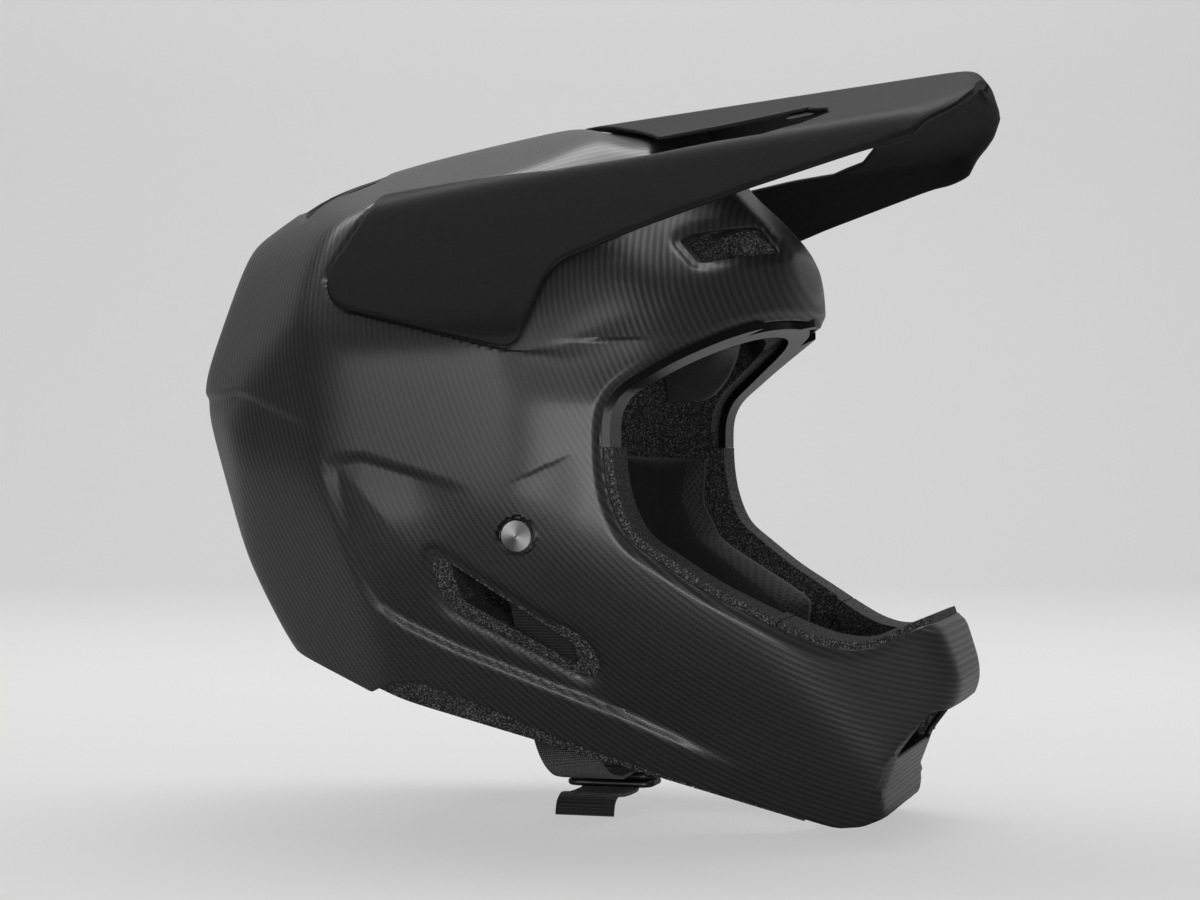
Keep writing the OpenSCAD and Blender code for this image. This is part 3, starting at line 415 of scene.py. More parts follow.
def twill(tree, map_name):
    """Height of the weave and whether the warp is on top, from a map of stripes."""
    place = add(tree, "ShaderNodeSeparateXYZ", add(tree, "ShaderNodeUVMap", uv_map=map_name).outputs[0])
    stripe, along = place.outputs[0], place.outputs[1]
    warp = maths(tree, "MULTIPLY", maths(tree, "ADD", stripe, along), 2.0)
    weft = maths(tree, "MULTIPLY", maths(tree, "SUBTRACT", stripe, along), 2.0)
    both = maths(tree, "ADD", maths(tree, "FLOOR", warp), maths(tree, "FLOOR", weft))
    over = maths(tree, "LESS_THAN", maths(tree, "FLOORED_MODULO", both, 4.0), 1.5)
    crowns = []
    for tow in (warp, weft):
        middle = maths(tree, "ABSOLUTE", maths(tree, "SUBTRACT", maths(tree, "FRACT", tow), 0.5))
        crowns.append(maths(tree, "MULTIPLY_ADD", maths(tree, "POWER", middle, 2.0), -3.6, 1.0))
    swell = maths(tree, "SINE", maths(tree, "MULTIPLY", stripe, 2 * math.pi))
    under = maths(tree, "SUBTRACT", 1.0, over)
    height = maths(tree, "MAXIMUM", maths(tree, "MULTIPLY", over, crowns[0]),
                   maths(tree, "MULTIPLY", under, crowns[1]))
    return total(tree, (height, 0.5), (swell, 0.28)), over


def pick(tree, first, second, choice):
    """The first value where the choice is 0, the second where it is 1."""
    return total(tree, (first, maths(tree, "SUBTRACT", 1.0, choice)), (second, choice))


plies = add(tree, "ShaderNodeSeparateXYZ", add(tree, "ShaderNodeUVMap", uv_map="plies").outputs[0])
top_ply = maths(tree, "GREATER_THAN", plies.outputs[0], 0.0)
rear_ply = maths(tree, "GREATER_THAN", plies.outputs[1], 0.0)
side_height, side_over = twill(tree, "weave_side")
top_height, top_over = twill(tree, "weave_top")
rear_height, rear_over = twill(tree, "weave_rear")
weave_height = pick(tree, pick(tree, side_height, rear_height, rear_ply), top_height, top_ply)
warp_up = pick(tree, pick(tree, side_over, rear_over, rear_ply), top_over, top_ply)
cloud = noise(tree, 26.0, 3.0)
# Base colour: lighter on the tows' crowns and where the warp is on top, darker between the tows, with a
# random mottle. The weave's light and dark stand in for the fibres' reflection: a painted sheen and painted
# shade.
mottle_and_painted_weave_light = total(tree, (weave_height, 0.42), (warp_up, 0.16), (cloud, 0.1))
tint(tree, shader, mottle_and_painted_weave_light, (0.0, 0.008), (0.3, 0.018), (0.62, 0.045), (1.0, 0.085))
tree.links.new(maths(tree, "MULTIPLY_ADD", warp_up, -0.1, 0.5), shader.inputs["Roughness"])
bump(tree, shader, weave_height, 0.16, 0.8)

half_turns = np.concatenate([np.arange(0, 24, 1.2), np.arange(24, 126, 0.45), np.arange(126, 180, 0.9)])
turns = np.concatenate([half_turns, 360 - half_turns[:0:-1]])
ups = np.concatenate([np.arange(-60, 24, 0.45), np.arange(24, 90, 1.0), [90]])
aim, triangles = net(turns, ups)
shell_planes = both_sides(shell_panels)
points, normals = moulded(aim)
x, y, z = points[:, 0], np.abs(points[:, 1]), points[:, 2]
seat_edge = outside_seat(x, y, z) / (1 + 9 * ease(x, 30, 62))
seat = seat_depth * (1 - ease(seat_edge, -0.8, 0.6)) * (z > 0)
points, normals = moulded(aim, 0, seat)

# The mouth under the chin beak is a deep step in the form
reach = np.linalg.norm(points, axis=1)
wall_reach = np.full(len(points), 1e9)
for (ax, az), (bx, bz) in zip(mouth_line[:-2], mouth_line[1:-1]):
    turned = aim[:, 0] * (bz - az) - aim[:, 2] * (bx - ax)
    with np.errstate(divide="ignore", invalid="ignore"):
        away = (ax * (bz - az) - az * (bx - ax)) / turned
        part = np.where(abs(bx - ax) > abs(bz - az), (away * aim[:, 0] - ax) / (bx - ax),
                        (away * aim[:, 2] - az) / (bz - az))
    hit = (away > 0) & (part >= 0) & (part <= 1)
    wall_reach = np.where(hit, np.minimum(wall_reach, away), wall_reach)
x, y, z = points[:, 0], np.abs(points[:, 1]), points[:, 2]
in_mouth = is_inside(x, z, mouth_line) & (wall_reach < reach)
sunk = (1 - ease(y, mouth_half - 2.5, mouth_half)) * in_mouth
wall_reach = wall_reach * (1 - 0.0012 * np.maximum(0, y - mouth_flat))
points = points * (1 + sunk * (np.where(in_mouth, wall_reach, reach) / reach - 1))[:, None]


def opening_gap(x, y, z):
    """Distance to the nearest opening of the shell; negative inside one. y is the distance aside."""
    port = outside_by(x, z, rounded(port_outline, 7))
    side = np.maximum(outside_by(x, z, rounded(side_vent, 6)), 60 - y)
    forehead = np.maximum(outside_by(x, z, rounded(forehead_vent, 3)), np.maximum(27 - y, y - 78))
    rear = np.maximum(outside_by(x, z, rounded(rear_vent, 3)), np.maximum(26 - y, y - 52))
    half_chin = [(-60, -127.3), (44.3, -127.3), (44.3, -105.7), (-60, -105.7)]
    chin = np.maximum(outside_by(y, z, rounded(half_chin, 4)), 110 - x)
    bush = np.maximum(np.hypot(x - pivot[0], z - pivot[1]) - bush_hole, 60 - y)
    pin = np.full(len(x), 1e9)
    for angle in np.radians(np.linspace(-22, -12, 6)):
        pin_x, pin_z = pivot[0] + pin_reach * np.cos(angle), pivot[1] + pin_reach * np.sin(angle)
        pin = np.minimum(pin, np.hypot(x - pin_x, z - pin_z) - pin_hole)
    return port, side, forehead, rear, chin, np.minimum(bush, np.maximum(pin, 60 - y))


def lip(gap, width):
    """1 at an opening's edge, falling away to 0 at a width from it."""
    return np.clip(1 - gap / width, 0, 1) ** 2


x, y, z = points[:, 0], np.abs(points[:, 1]), points[:, 2]
port, side, forehead, rear, chin, holes = opening_gap(x, y, z)
on_side = ease(y, 30, 50)
from_step = line_distance(x, z, swept_step)
past_step = is_inside(x, z, swept_side)
fade = ease(np.hypot(x - 16.1, z + 20.6), 4, 34) * ease(np.hypot(x - 112.2, z + 133.7), 4, 45)
into_step = np.where(past_step, from_step, -from_step)
step_drop = ease(into_step, -0.8, 3.2 + 3 * ease(-x, 34, 48))
sink = on_side * fade * 3.0 * step_drop * (1 - np.clip((into_step - 2) / 34, 0, 1)) ** 1.5
below_rear = outside_by(x, z, rear_step + rear_zone)
sink += rear_depth(points, normals) * ease(-below_rear, -0.3, 4) * (1 - 0.5 * ease(into_step, 0, 8))
sink += 1.7 * lip(port, 4) * (port > -3)
sink += 2.2 * lip(side, 4.5) + 1.6 * lip(side, 14) * ease(x, 30, 48)
sink += 1.5 * lip(forehead, 3.5) + 1.2 * lip(rear, 3)
from_disc = np.hypot(x - disc_centre[0], z - disc_centre[1])
points = points - normals * sink[:, None]
flat = from_disc < 7.4
points[flat, 1] = np.sign(points[flat, 1]) * disc_face

x, y, z = points[:, 0], np.abs(points[:, 1]), points[:, 2]
port, side, forehead, rear, chin, holes = opening_gap(x, y, z)
edge_x, edge_z = np.array(shell_edge).T
above_base = (z - np.interp(x, edge_x, edge_z)) * 0.95
keep = np.minimum.reduce([port, side + 0.6, forehead + 0.4, rear, chin, holes, above_base])
table, triangles = cut(np.column_stack([points, normals, keep]), triangles, keep)
points, normals = table[:, :3], unit(table[:, 3:6])
near_edge = (table[:, 6][triangles] < 9).any(1)
shell_points, shell_faces, source = with_wall(points, normals, triangles, shell_wall, 5, near_edge)
shell = make_piece("carbon_shell", shell_points, shell_faces, carbon)


def lay_map(piece, name, place):
    """A map on the piece from two numbers for each of its points."""
    corners = np.empty(len(piece.data.loops), int)
    piece.data.loops.foreach_get("vertex_index", corners)
    layer = piece.data.uv_layers.new(name=name)
    layer.uv.foreach_set("vector", place[corners].astype(np.float32).ravel())


stripe, weave_radius = 2.3, 240
weave_centre = (215, 95)


def lay_twill(piece, points, normals):
    """The three plies: round the brow on the sides, straight over the top and across the back."""
    from_x, from_z = points[:, 0] - weave_centre[0], points[:, 2] - weave_centre[1]
    lay_map(piece, "weave_side", np.column_stack([
        np.hypot(from_x, from_z) / stripe,
        np.arctan2(from_z, from_x) % (2 * math.pi) * weave_radius / stripe]))
    lay_map(piece, "weave_top", np.column_stack([
        (points[:, 0] * 0.62 - points[:, 1] * 0.78), (points[:, 0] * 0.78 + points[:, 1] * 0.62)]) / stripe)
    lay_map(piece, "weave_rear", np.column_stack([
        (points[:, 1] * 0.7 + points[:, 2] * 0.7), (points[:, 1] * 0.7 - points[:, 2] * 0.7)]) / stripe)
    lay_map(piece, "plies", np.column_stack([
        normals[:, 2] - 0.66, np.abs(normals[:, 0]) * (points[:, 0] < 0) - np.abs(normals[:, 1]) * 2.2]))


lay_twill(shell, shell_points, normals[source])
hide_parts("outer_shell")

# Foam liner: four blocks of grey bead foam glued into the shell, one round the head, one at
# each cheek and one in the chin bar. Air channels run over the head, ducts lead to the vents.
foam_gap = shell_wall + 0.3
bead_foam, tree, shader = new_finish("bead_foam", Roughness=0.75)
place = add(tree, "ShaderNodeTexCoord").outputs["Object"]
speck = noise(tree, 1500.0, 1.0, place, 0.6)
beads = add(tree, "ShaderNodeTexVoronoi", place, None, 600.0).outputs["Distance"]
tint(tree, shader, total(tree, (speck, 1.0), (beads, -0.1)),
     (0.34, 0.006), (0.46, 0.025), (0.56, 0.1), (0.68, 0.24))
bump(tree, shader, total(tree, (beads, -1.0), (speck, 0.6)), 0.4, 0.7)


def closed_net(step):
    """Directions all round and the triangles between them, closed at the foot too."""
    turns = np.arange(0, 360, step)
    aim, triangles = net(turns, np.concatenate([np.arange(-90 + step, 90, step), [90]]))
    ring = np.arange(len(turns))
    fan = np.column_stack([np.roll(ring, -1), ring, np.full(len(turns), len(aim))])
    return np.vstack([aim, (0, 0, -1)]), np.vstack([triangles, fan])


def closed_form(inset, step=1.6):
    """The moulded form without its openings, moved inwards, as points and faces."""
    aim, triangles = closed_net(step)
    points, normals = moulded(aim, inset)
    x, y, z = points[:, 0], np.abs(points[:, 1]), points[:, 2]
    seat = seat_depth * (1 - ease(outside_seat(x, y, z), -1, 3)) * (z > 0)
    points, normals = moulded(aim, inset, seat)
    into_step = line_distance(x, z, swept_step) * np.where(is_inside(x, z, swept_side), 1, -1)
    sink = ease(y, 30, 50) * 3.2 * ease(into_step, -3, 0) * (1 - np.clip((into_step - 4) / 34, 0, 1)) ** 1.5
    sink += rear_depth(points, normals, inset) * ease(outside_by(x, z, rear_step + rear_zone), 3, 0)
    return points - normals * sink[:, None], triangles


def prism(outline, start=-260, end=260, view="side"):
    """An outline in the side view (x, z), front view (y, z) or plan (x, y), drawn out from start to end."""
    order = {"side": (0, 2, 1), "front": (2, 0, 1), "plan": (0, 1, 2)}[view]
    points = [[(a, b, d)[axis] for axis in order] for d in (start, end) for a, b in outline]
    count = len(outline)
    faces = [list(range(count))[::-1], list(range(count, 2 * count))]
    faces += [[k, (k + 1) % count, count + (k + 1) % count, count + k] for k in range(count)]
    return np.array(points, float), faces


def beside(outline, side, near, far):
    """An outline of the side view drawn out on one side, between two distances from the middle."""
    return prism(outline, *sorted((side * near, side * far)))


def grown(outline, by):
    """The outline with every side moved outwards."""
    line = np.array(outline, float)
    before, after = np.roll(line, 1, 0), np.roll(line, -1, 0)
    area = (line[:, 0] * after[:, 1] - after[:, 0] * line[:, 1]).sum()
    first, second = unit(line - before), unit(after - line)
    aside = np.column_stack([first[:, 1], -first[:, 0]]) + np.column_stack([second[:, 1], -second[:, 0]])
    aside *= math.copysign(1, area) / (1 + (first * second).sum(1))[:, None]
    return [tuple(p) for p in line + aside * by]


def block(low, high):
    """A straight block between two corners."""
    outline = [(low[0], low[2]), (high[0], low[2]), (high[0], high[2]), (low[0], high[2])]
    return prism(outline, low[1], high[1])


def new_mesh(name, points, faces):
    """A mesh from points in millimetres, with its faces turned outwards."""
    mesh = bpy.data.meshes.new(name)
    mesh.from_pydata((np.asarray(points, float) * MM).tolist(), [],
                     faces.tolist() if hasattr(faces, "tolist") else faces)
    work = bmesh.new()
    work.from_mesh(mesh)
    bmesh.ops.recalc_face_normals(work, faces=work.faces)
    work.to_mesh(mesh)
    work.free()
    return mesh


def carve(name, start, steps):
    """Carves a piece: each step takes away, keeps or joins a solid. Returns the mesh."""
    piece = bpy.data.objects.new(name, new_mesh(name, *start))
    bpy.context.scene.collection.objects.link(piece)
    tools = []
    for kind, shape in steps:
        tool = bpy.data.objects.new(name + "_tool", shape if isinstance(shape, bpy.types.Mesh)
                                    else new_mesh(name + "_tool", *shape))
        bpy.context.scene.collection.objects.link(tool)
        tool.hide_render = True
        step = piece.modifiers.new("carve", "BOOLEAN")
        step.operation = {"take": "DIFFERENCE", "keep": "INTERSECT", "join": "UNION"}[kind]
        step.solver = "MANIFOLD"
        step.object = tool
        tools.append(tool)
    bpy.context.view_layer.update()
    mesh = bpy.data.meshes.new_from_object(piece.evaluated_get(bpy.context.evaluated_depsgraph_get()))
    for unused in [piece] + tools:
        bpy.data.objects.remove(unused)
    mesh.name = name
    return mesh


head_x, head_half = -5, np.array([111, 91, 102])
cheek_inner, chin_inner = 21.5, 26.5
round_line = [(2 + 82 * math.cos(a), 73 * math.sin(a)) for a in np.radians(np.arange(0, 360, 5))]
base_line = [(-300, -(base_d + 1.5 - 0.294 * 300) / 0.956), (300, -(base_d + 1.5 + 0.294 * 300) / 0.956),
             (300, -400), (-300, -400)]
cheek_space = carve("cheek_space", closed_form(cheek_inner, 2.4),
                    [("keep", block((0, -200, -200), (118, 200, 4)))])
chin_space = carve("chin_space", closed_form(chin_inner, 2.4),
                   [("keep", block((0, -200, -200), (260, 200, 4)))])
aim, triangles = closed_net(4)
head_room = (aim * head_half + (head_x, 0, 0), triangles)
mouth_block = prism(grown(mouth_line, foam_gap), -mouth_half - foam_gap, mouth_half + foam_gap)
chin_foot = [(124, -148.4), (137, -151.9), (147, -151.1), (156, -147.8), (300, -100), (300, -300),
             (124, -300)]
body_steps = [("take", mouth_block), ("take", head_room),
              ("take", prism(round_line, -260, 0, "plan")), ("take", cheek_space), ("take", chin_space),
              ("take", prism(base_line)),
              ("take", prism(chin_foot))]
side_duct = [(-2.1, -47.6), (0.5, -62), (3, -64), (41.5, -87.7), (42.3, -85.6), (41.6, -79.4), (17.6, -62)]
vent_steps = []
for side in (-1, 1):
    pocket = carve("pocket", beside(grown(forehead_vent, -0.5), side, 45, 77.5),
                   [("take", closed_form(10, 2.4))])
    vent_steps += [("take", beside(side_duct, side, 20, 260)), ("take", pocket),
                   ("take", beside(grown(forehead_vent, -1), side, 29, 46)),
                   ("take", beside(grown(rear_vent, -2), side, 30, 48))]
vent_steps.append(("take", prism(chin_vent, 136, 216, "front")))
foam_body = carve("foam_body", closed_form(foam_gap), body_steps + vent_steps)
channels = []
arch = [(head_x + 119 * math.cos(a), 110 * math.sin(a)) for a in np.radians(np.arange(0, 181, 5))]
for y in (-40, 0, 40):
    channels.append(("take", prism(arch + [(head_x - 119, 12), (head_x + 119, 12)], y - 7, y + 7)))


def foam_block(name, steps, node_name):
    """One of the blocks, cut from the foam body."""
    points = [v.co / MM for v in foam_body.vertices]
    faces = [list(f.vertices) for f in foam_body.polygons]
    piece = put(name, carve(name, (points, faces), steps), bead_foam)
    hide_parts(node_name)
    return piece


seam_x, seam_top = 53.5, -3
slope = (math.cos(math.radians(30)), -math.sin(math.radians(30)))


def ahead_of_seam(shift):
    """Everything forward of the slanted seam of the chin block, side view."""
    ahead, along = np.array(slope), np.array((-slope[1], slope[0]))
    base = ahead * (139.3 + shift)
    return [tuple(p) for p in (base - along * 300, base + along * 300, base + along * 300 + ahead * 300,
                               base - along * 300 + ahead * 300)]


port = rounded(port_outline, 7)
foam_port = prism(grown(port, -4))
port_above = carve("port_above", prism(grown(port, 0.4)),
                   [("keep", block((0, -300, -4), (300, 300, 300)))])
below_seam = prism([(seam_x, -300), (300, -300), (300, seam_top), (seam_x, seam_top)])
foam_block("head_foam_block", [("take", below_seam), ("take", port_above)] + channels, "head_foam")
for side, name in ((1, "left"), (-1, "right")):
    half = block((0, 0, -300), (300, 300, 300)) if side > 0 else block((0, -300, -300), (300, 0, 300))
    foam_block("cheek_foam_block_" + name, [
        ("keep", half), ("keep", prism([(seam_x + 0.25, -300), (300, -300), (300, seam_top - 0.25),
                                        (seam_x + 0.25, seam_top - 0.25)])),
        ("take", prism(ahead_of_seam(-0.25))), ("take", foam_port)], "cheek_foam_" + name)
foam_block("chin_foam_block", [("keep", prism(ahead_of_seam(0.25))),
                               ("keep", block((0, -300, -300), (300, 300, seam_top))), ("take", foam_port)],
           "chin_foam")

# Brow frame: glossy moulded trim round the top of the eye port, between shell and foam.
# Slit vents open above its ledge, on both sides of a fin in the middle.
gloss_black, tree, shader = mottled("gloss_black", 60.0, (0.2, 0.004), (0.8, 0.009), Roughness=0.26,
                                    Coat_Weight=0.08, Coat_Roughness=0.1, Specular_IOR_Level=0.12)
bump(tree, shader, noise(tree, 900.0, 2.0), 0.03, 0.3)
slits = carve("slits", closed_form(0, 2.4), [("take", closed_form(7, 2.4))])
slit_view = [(94, 0), (160, 0), (160, 80), (94, 80)]
slit_steps = [("take", carve("slit", beside(slit_view, side, 6, 52), [("keep", slits)])) for side in (-1, 1)]
brow = carve("brow_frame_trim", prism(grown(port, -0.3), -200, 200), [
    ("take", prism(grown(port, -3.3), -210, 210)), ("keep", closed_form(0.8)), ("take", closed_form(16)),
    ("keep", block((0, -200, -3.2), (300, 200, 100)))] + slit_steps)
brow_trim = put("brow_frame_trim", brow, gloss_black)
soft = brow_trim.modifiers.new("rounded_edges", "BEVEL")
soft.width, soft.segments, soft.limit_method, soft.angle_limit = 0.5 * MM, 2, "ANGLE", math.radians(40)
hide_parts("brow_frame")

# Pads: crown pad, brow pad and neck roll, foam sewn into brushed dark knit and quilted along
# their length, held by hook and loop; and two cheek pads, held by press studs.
knit, tree, shader = new_finish("brushed_knit", Roughness=0.92, Sheen_Weight=0.35, Sheen_Roughness=0.4)
fuzz = noise(tree, 900.0, 4.0, None, 0.6)
folds = noise(tree, 35.0, 3.0)
rows = add(tree, "ShaderNodeTexWave", None, 520.0, 2.5, 2.0, wave_type="BANDS",
           bands_direction="DIAGONAL").outputs[1]
tint(tree, shader, total(tree, (fuzz, 0.6), (folds, 0.4)), (0.25, 0.007), (0.75, 0.022))
bump(tree, shader, total(tree, (fuzz, 1.0), (rows, 0.5)), 0.25, 0.6)

# Cover of the cheek pads: smooth dark cloth, with a band of perforated mesh sewn in along the
# front. The holes are set in staggered rows by the cover's own map.
band_start, band_end = 0.83, 0.985
cheek_cover, tree, shader = new_finish("cheek_cover", Roughness=0.85, Sheen_Weight=0.2)
cover = add(tree, "ShaderNodeSeparateXYZ", add(tree, "ShaderNodeUVMap", uv_map="cover").outputs[0])
place = add(tree, "ShaderNodeTexCoord").outputs["Object"]
across = maths(tree, "SINE", maths(tree, "MULTIPLY", cover.outputs[0], 130.0))
along = maths(tree, "SINE", maths(tree, "MULTIPLY", cover.outputs[1], 200.0))
between_holes = maths(tree, "LESS_THAN", maths(tree, "MULTIPLY", across, along), 0.3)
in_band = maths(tree, "MULTIPLY", maths(tree, "GREATER_THAN", cover.outputs[0], band_start),
                maths(tree, "LESS_THAN", cover.outputs[0], band_end))
nap = noise(tree, 1500.0, 3.0, place)
cloth = maths(tree, "MULTIPLY_ADD", in_band, maths(tree, "SUBTRACT", between_holes, 0.6), nap)
tint(tree, shader, cloth, (0.1, 0.002), (0.4, 0.009), (0.6, 0.014), (0.95, 0.036))
bump(tree, shader, cloth, 0.3, 0.7)


def half_width(x, z, inset):
    """Half width of the shell form, moved inwards, at places in the side view."""
    low, high = np.zeros(len(x)), np.full(len(x), 200.0)
    for _ in range(24):
        middle = (low + high) / 2
        point = np.column_stack([x, middle, z])
        far = np.linalg.norm(point, axis=1)
        surface = np.linalg.norm(form(point / far[:, None], shell_planes, shell_power, inset)[0], axis=1)
        low, high = np.where(far < surface, middle, low), np.where(far < surface, high, middle)
    return low


def crown_of(u, v):
    """How full a pad is: 1 in its middle, 0 at its seam."""
    return np.sqrt(np.maximum(0, 1 - np.abs(2 * u - 1) ** 4) * np.maximum(0, 1 - np.abs(2 * v - 1) ** 4))


def quilt(v, channels):
    """Depth of the sewn channels in millimetres."""
    return 1.6 * np.abs(np.cos(math.pi * v * (channels + 1))) ** 12


def spread(count):
    """Places from 0 to 1, closer together at the ends."""
    return 0.5 - 0.5 * np.cos(math.pi * np.arange(count + 1) / count)


def pillow(outer, inner, rows, columns):
    """Two sheets of points, closed round their edge."""
    at = np.arange(rows * columns).reshape(rows, columns)
    a, b, c, d = at[:-1, :-1].ravel(), at[1:, :-1].ravel(), at[1:, 1:].ravel(), at[:-1, 1:].ravel()
    rim = np.concatenate([at[0], at[1:, -1], at[-1, -2::-1], at[-2:0:-1, 0]])
    after = np.roll(rim, -1)
    total = rows * columns
    faces = np.vstack([np.column_stack([a, b, c, d]), np.column_stack([a, d, c, b]) + total,
                       np.column_stack([rim, after, after + total, rim + total])])
    return np.vstack([outer, inner]), faces


def sew(name, outer, inner, rows, columns, node_name, swell=2.0):
    """Sews a pad: its two sheets are joined, then the filling is let swell in a cloth simulation."""
    points, faces = pillow(outer, inner, rows, columns)
    mesh = new_mesh(name, points, faces)
    pad = put(name, mesh, knit, smooth=0)
    rest = [v.co.copy() for v in mesh.vertices]
    cloth = pad.modifiers.new("filling", "CLOTH")
    cloth.settings.use_pressure = True
    cloth.settings.uniform_pressure_force = 4
    cloth.settings.tension_stiffness = cloth.settings.compression_stiffness = 25
    cloth.settings.effector_weights.gravity = 0
    scene = bpy.context.scene
    for step in range(1, 13):
        scene.frame_set(step)
    swollen = pad.evaluated_get(bpy.context.evaluated_depsgraph_get()).to_mesh()
    moved = [v.co.copy() for v in swollen.vertices]
    pad.modifiers.remove(cloth)
    scene.frame_set(1)
    for vertex, before, after in zip(mesh.vertices, rest, moved):
        shift = after - before
        if shift.length > swell * MM:
            shift *= swell * MM / shift.length
        vertex.co = before + shift
    finer = pad.modifiers.new("finer", "SUBSURF")
    finer.levels = finer.render_levels = 1
    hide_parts(node_name)
    return pad


def head_pad(name, turns, ups, thick, channels, steps, sides=None, drop=0):
    """A pad on the foam round the head, between turns and ups, or over the crown with sides each way.
    drop lowers its edge at the temples."""
    u, v = (m.ravel() for m in np.meshgrid(spread(steps[0]), spread(steps[1]), indexing="ij"))
    crown, edge = crown_of(u, v), thick * 0.3
    sheets = []
    for inner in (False, True):
        draw = 0 if inner else 0.02 * (1 - crown)
        uu, vv = u + (0.5 - u) * draw, v + (0.5 - v) * draw
        depth = 1.4 + (edge + (thick - edge) * crown - crown * quilt(v, channels) - 1 if inner
                       else (1 - crown) * edge * 0.4)
        if sides:
            over = np.radians(turns[0] + (turns[1] - turns[0]) * u)
            aside = np.radians(90 + sides * (2 * v - 1))
            way = np.column_stack([np.sin(aside) * np.cos(over), np.cos(aside), np.sin(aside) * np.sin(over)])
        else:
            turn = np.radians(turns[0] + (turns[1] - turns[0]) * uu)
            up = np.radians(ups[0] + (ups[1] - ups[0]) * vv)
            up = up - np.radians(drop) * (1 - vv) * ease(np.abs(np.degrees(turn)), 25, 58)
            way = np.column_stack([np.cos(up) * np.cos(turn), np.cos(up) * np.sin(turn), np.sin(up)])
        sheets.append(way * (head_half - depth[:, None]) + (head_x, 0, 0))
    return sew(name + "_sewn", sheets[0], sheets[1], steps[0] + 1, steps[1] + 1, name, 1.2)


head_pad("crown_pad", (60, 134), None, 9, 2, (44, 36), 36)
head_pad("brow_pad", (-68, 68), (27, 44), 9, 0, (72, 16), drop=17)
head_pad("neck_roll", (130, 230), (-34, -8), 11, 1, (56, 24))
pad_front = [(52, -7), (53, -27), (62, -43), (85, -57), (106, -70), (105, -84), (93, -104)]
pad_rear = [(6, -7), (2, -22), (4, -38), (14, -58), (30, -76), (44, -90), (58, -102)]


def along_line(line, t):
    """Places on a line of evenly numbered corners, at shares of its length."""
    line = np.array(line, float)
    places = np.linspace(0, 1, len(line))
    return np.column_stack([np.interp(t, places, line[:, 0]), np.interp(t, places, line[:, 1])])


u, v = (m.ravel() for m in np.meshgrid(spread(44), spread(30), indexing="ij"))
side_place = along_line(pad_rear, u) * (1 - v)[:, None] + along_line(pad_front, u) * v[:, None]
width = half_width(side_place[:, 0], side_place[:, 1], cheek_inner + 0.3)
crown = crown_of(u, v)
cheek_thick = 17
outer_depth = 0.4 + (1 - crown) * cheek_thick * 0.35 * 0.4
inner_depth = cheek_thick * 0.35 + cheek_thick * 0.65 * crown - crown * quilt(v, 1) - 0.5
for side, name in ((1, "left"), (-1, "right")):
    sheets = [np.column_stack([side_place[:, 0], side * (width - depth), side_place[:, 1]])
              for depth in (outer_depth, inner_depth)]
    pad = sew("cheek_pad_" + name + "_sewn", sheets[0], sheets[1], 45, 31, "cheek_pad_" + name, 1.5)
    lay_map(pad, "cover", np.column_stack([np.tile(v, 2), np.tile(u, 2)]))
    pad.data.materials[0] = cheek_cover

# Press studs of the cheek pads: moulded grey plastic, half in the foam and half in the pad.
moulded_grey, tree, shader = mottled("moulded_grey", 220.0, (0.2, 0.045), (0.8, 0.075), Roughness=0.5)
bump(tree, shader, noise(tree, 2500.0, 2.0), 0.03, 0.4)
moulded_black, tree, shader = mottled("moulded_black", 180.0, (0.2, 0.012), (0.8, 0.022), Roughness=0.55)
bump(tree, shader, add(tree, "ShaderNodeTexVoronoi", None, None, 1400.0).outputs["Distance"], 0.05, 0.5)


def dress(finish, *names):
    """Puts a finish on CAD pieces whose shape is right as it is."""
    for name in names:
        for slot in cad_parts[name].material_slots:
            slot.material = finish


dress(moulded_grey, "cheek_studs_left", "cheek_studs_right")

# Side discs and the anchor plates behind them: spun light metal, turned, its sheen partly from the shader's
# radial anisotropy and partly painted into the colour as two bright lobes, with a rivet through the shell
# that clamps the strap anchor, and a thin black ring round each disc that stands in for the shadow in the gap
# round it (painted shade).
turned_metal, tree, shader = new_finish("turned_metal", Metallic=1.0, Roughness=0.32, Anisotropic=0.8)
place = add(tree, "ShaderNodeSeparateXYZ", add(tree, "ShaderNodeNewGeometry").outputs["Position"])
from_x = maths(tree, "SUBTRACT", place.outputs[0], disc_centre[0] * MM)
from_z = maths(tree, "SUBTRACT", place.outputs[2], disc_centre[1] * MM)
ring = maths(tree, "SQRT", total(tree, (from_x, from_x), (from_z, from_z)))
grooves = add(tree, "ShaderNodeTexNoise", None, None, 1.0, 2.0, noise_dimensions="1D")
tree.links.new(maths(tree, "MULTIPLY", ring, 9000.0), grooves.inputs["W"])
# Painted sheen: the disc's colour is lighter in two lobes at a fixed turn round its centre.
turn = maths(tree, "ARCTAN2", from_z, from_x)
painted_sheen_lobes = maths(tree, "ABSOLUTE", maths(tree, "COSINE", maths(tree, "ADD", turn, 0.6)))
painted_sheen = maths(tree, "POWER", painted_sheen_lobes, 3.0)
tint(tree, shader, total(tree, (painted_sheen, 0.7), (grooves.outputs[0], 0.3)), (0.1, 0.1), (0.9, 0.36))
round_axis = add(tree, "ShaderNodeTangent", direction_type="RADIAL", axis="Y").outputs[0]
tree.links.new(round_axis, shader.inputs["Tangent"])
bump(tree, shader, grooves.outputs[0], 0.02, 0.5)
dress(turned_metal, "side_disc_left", "side_disc_right")
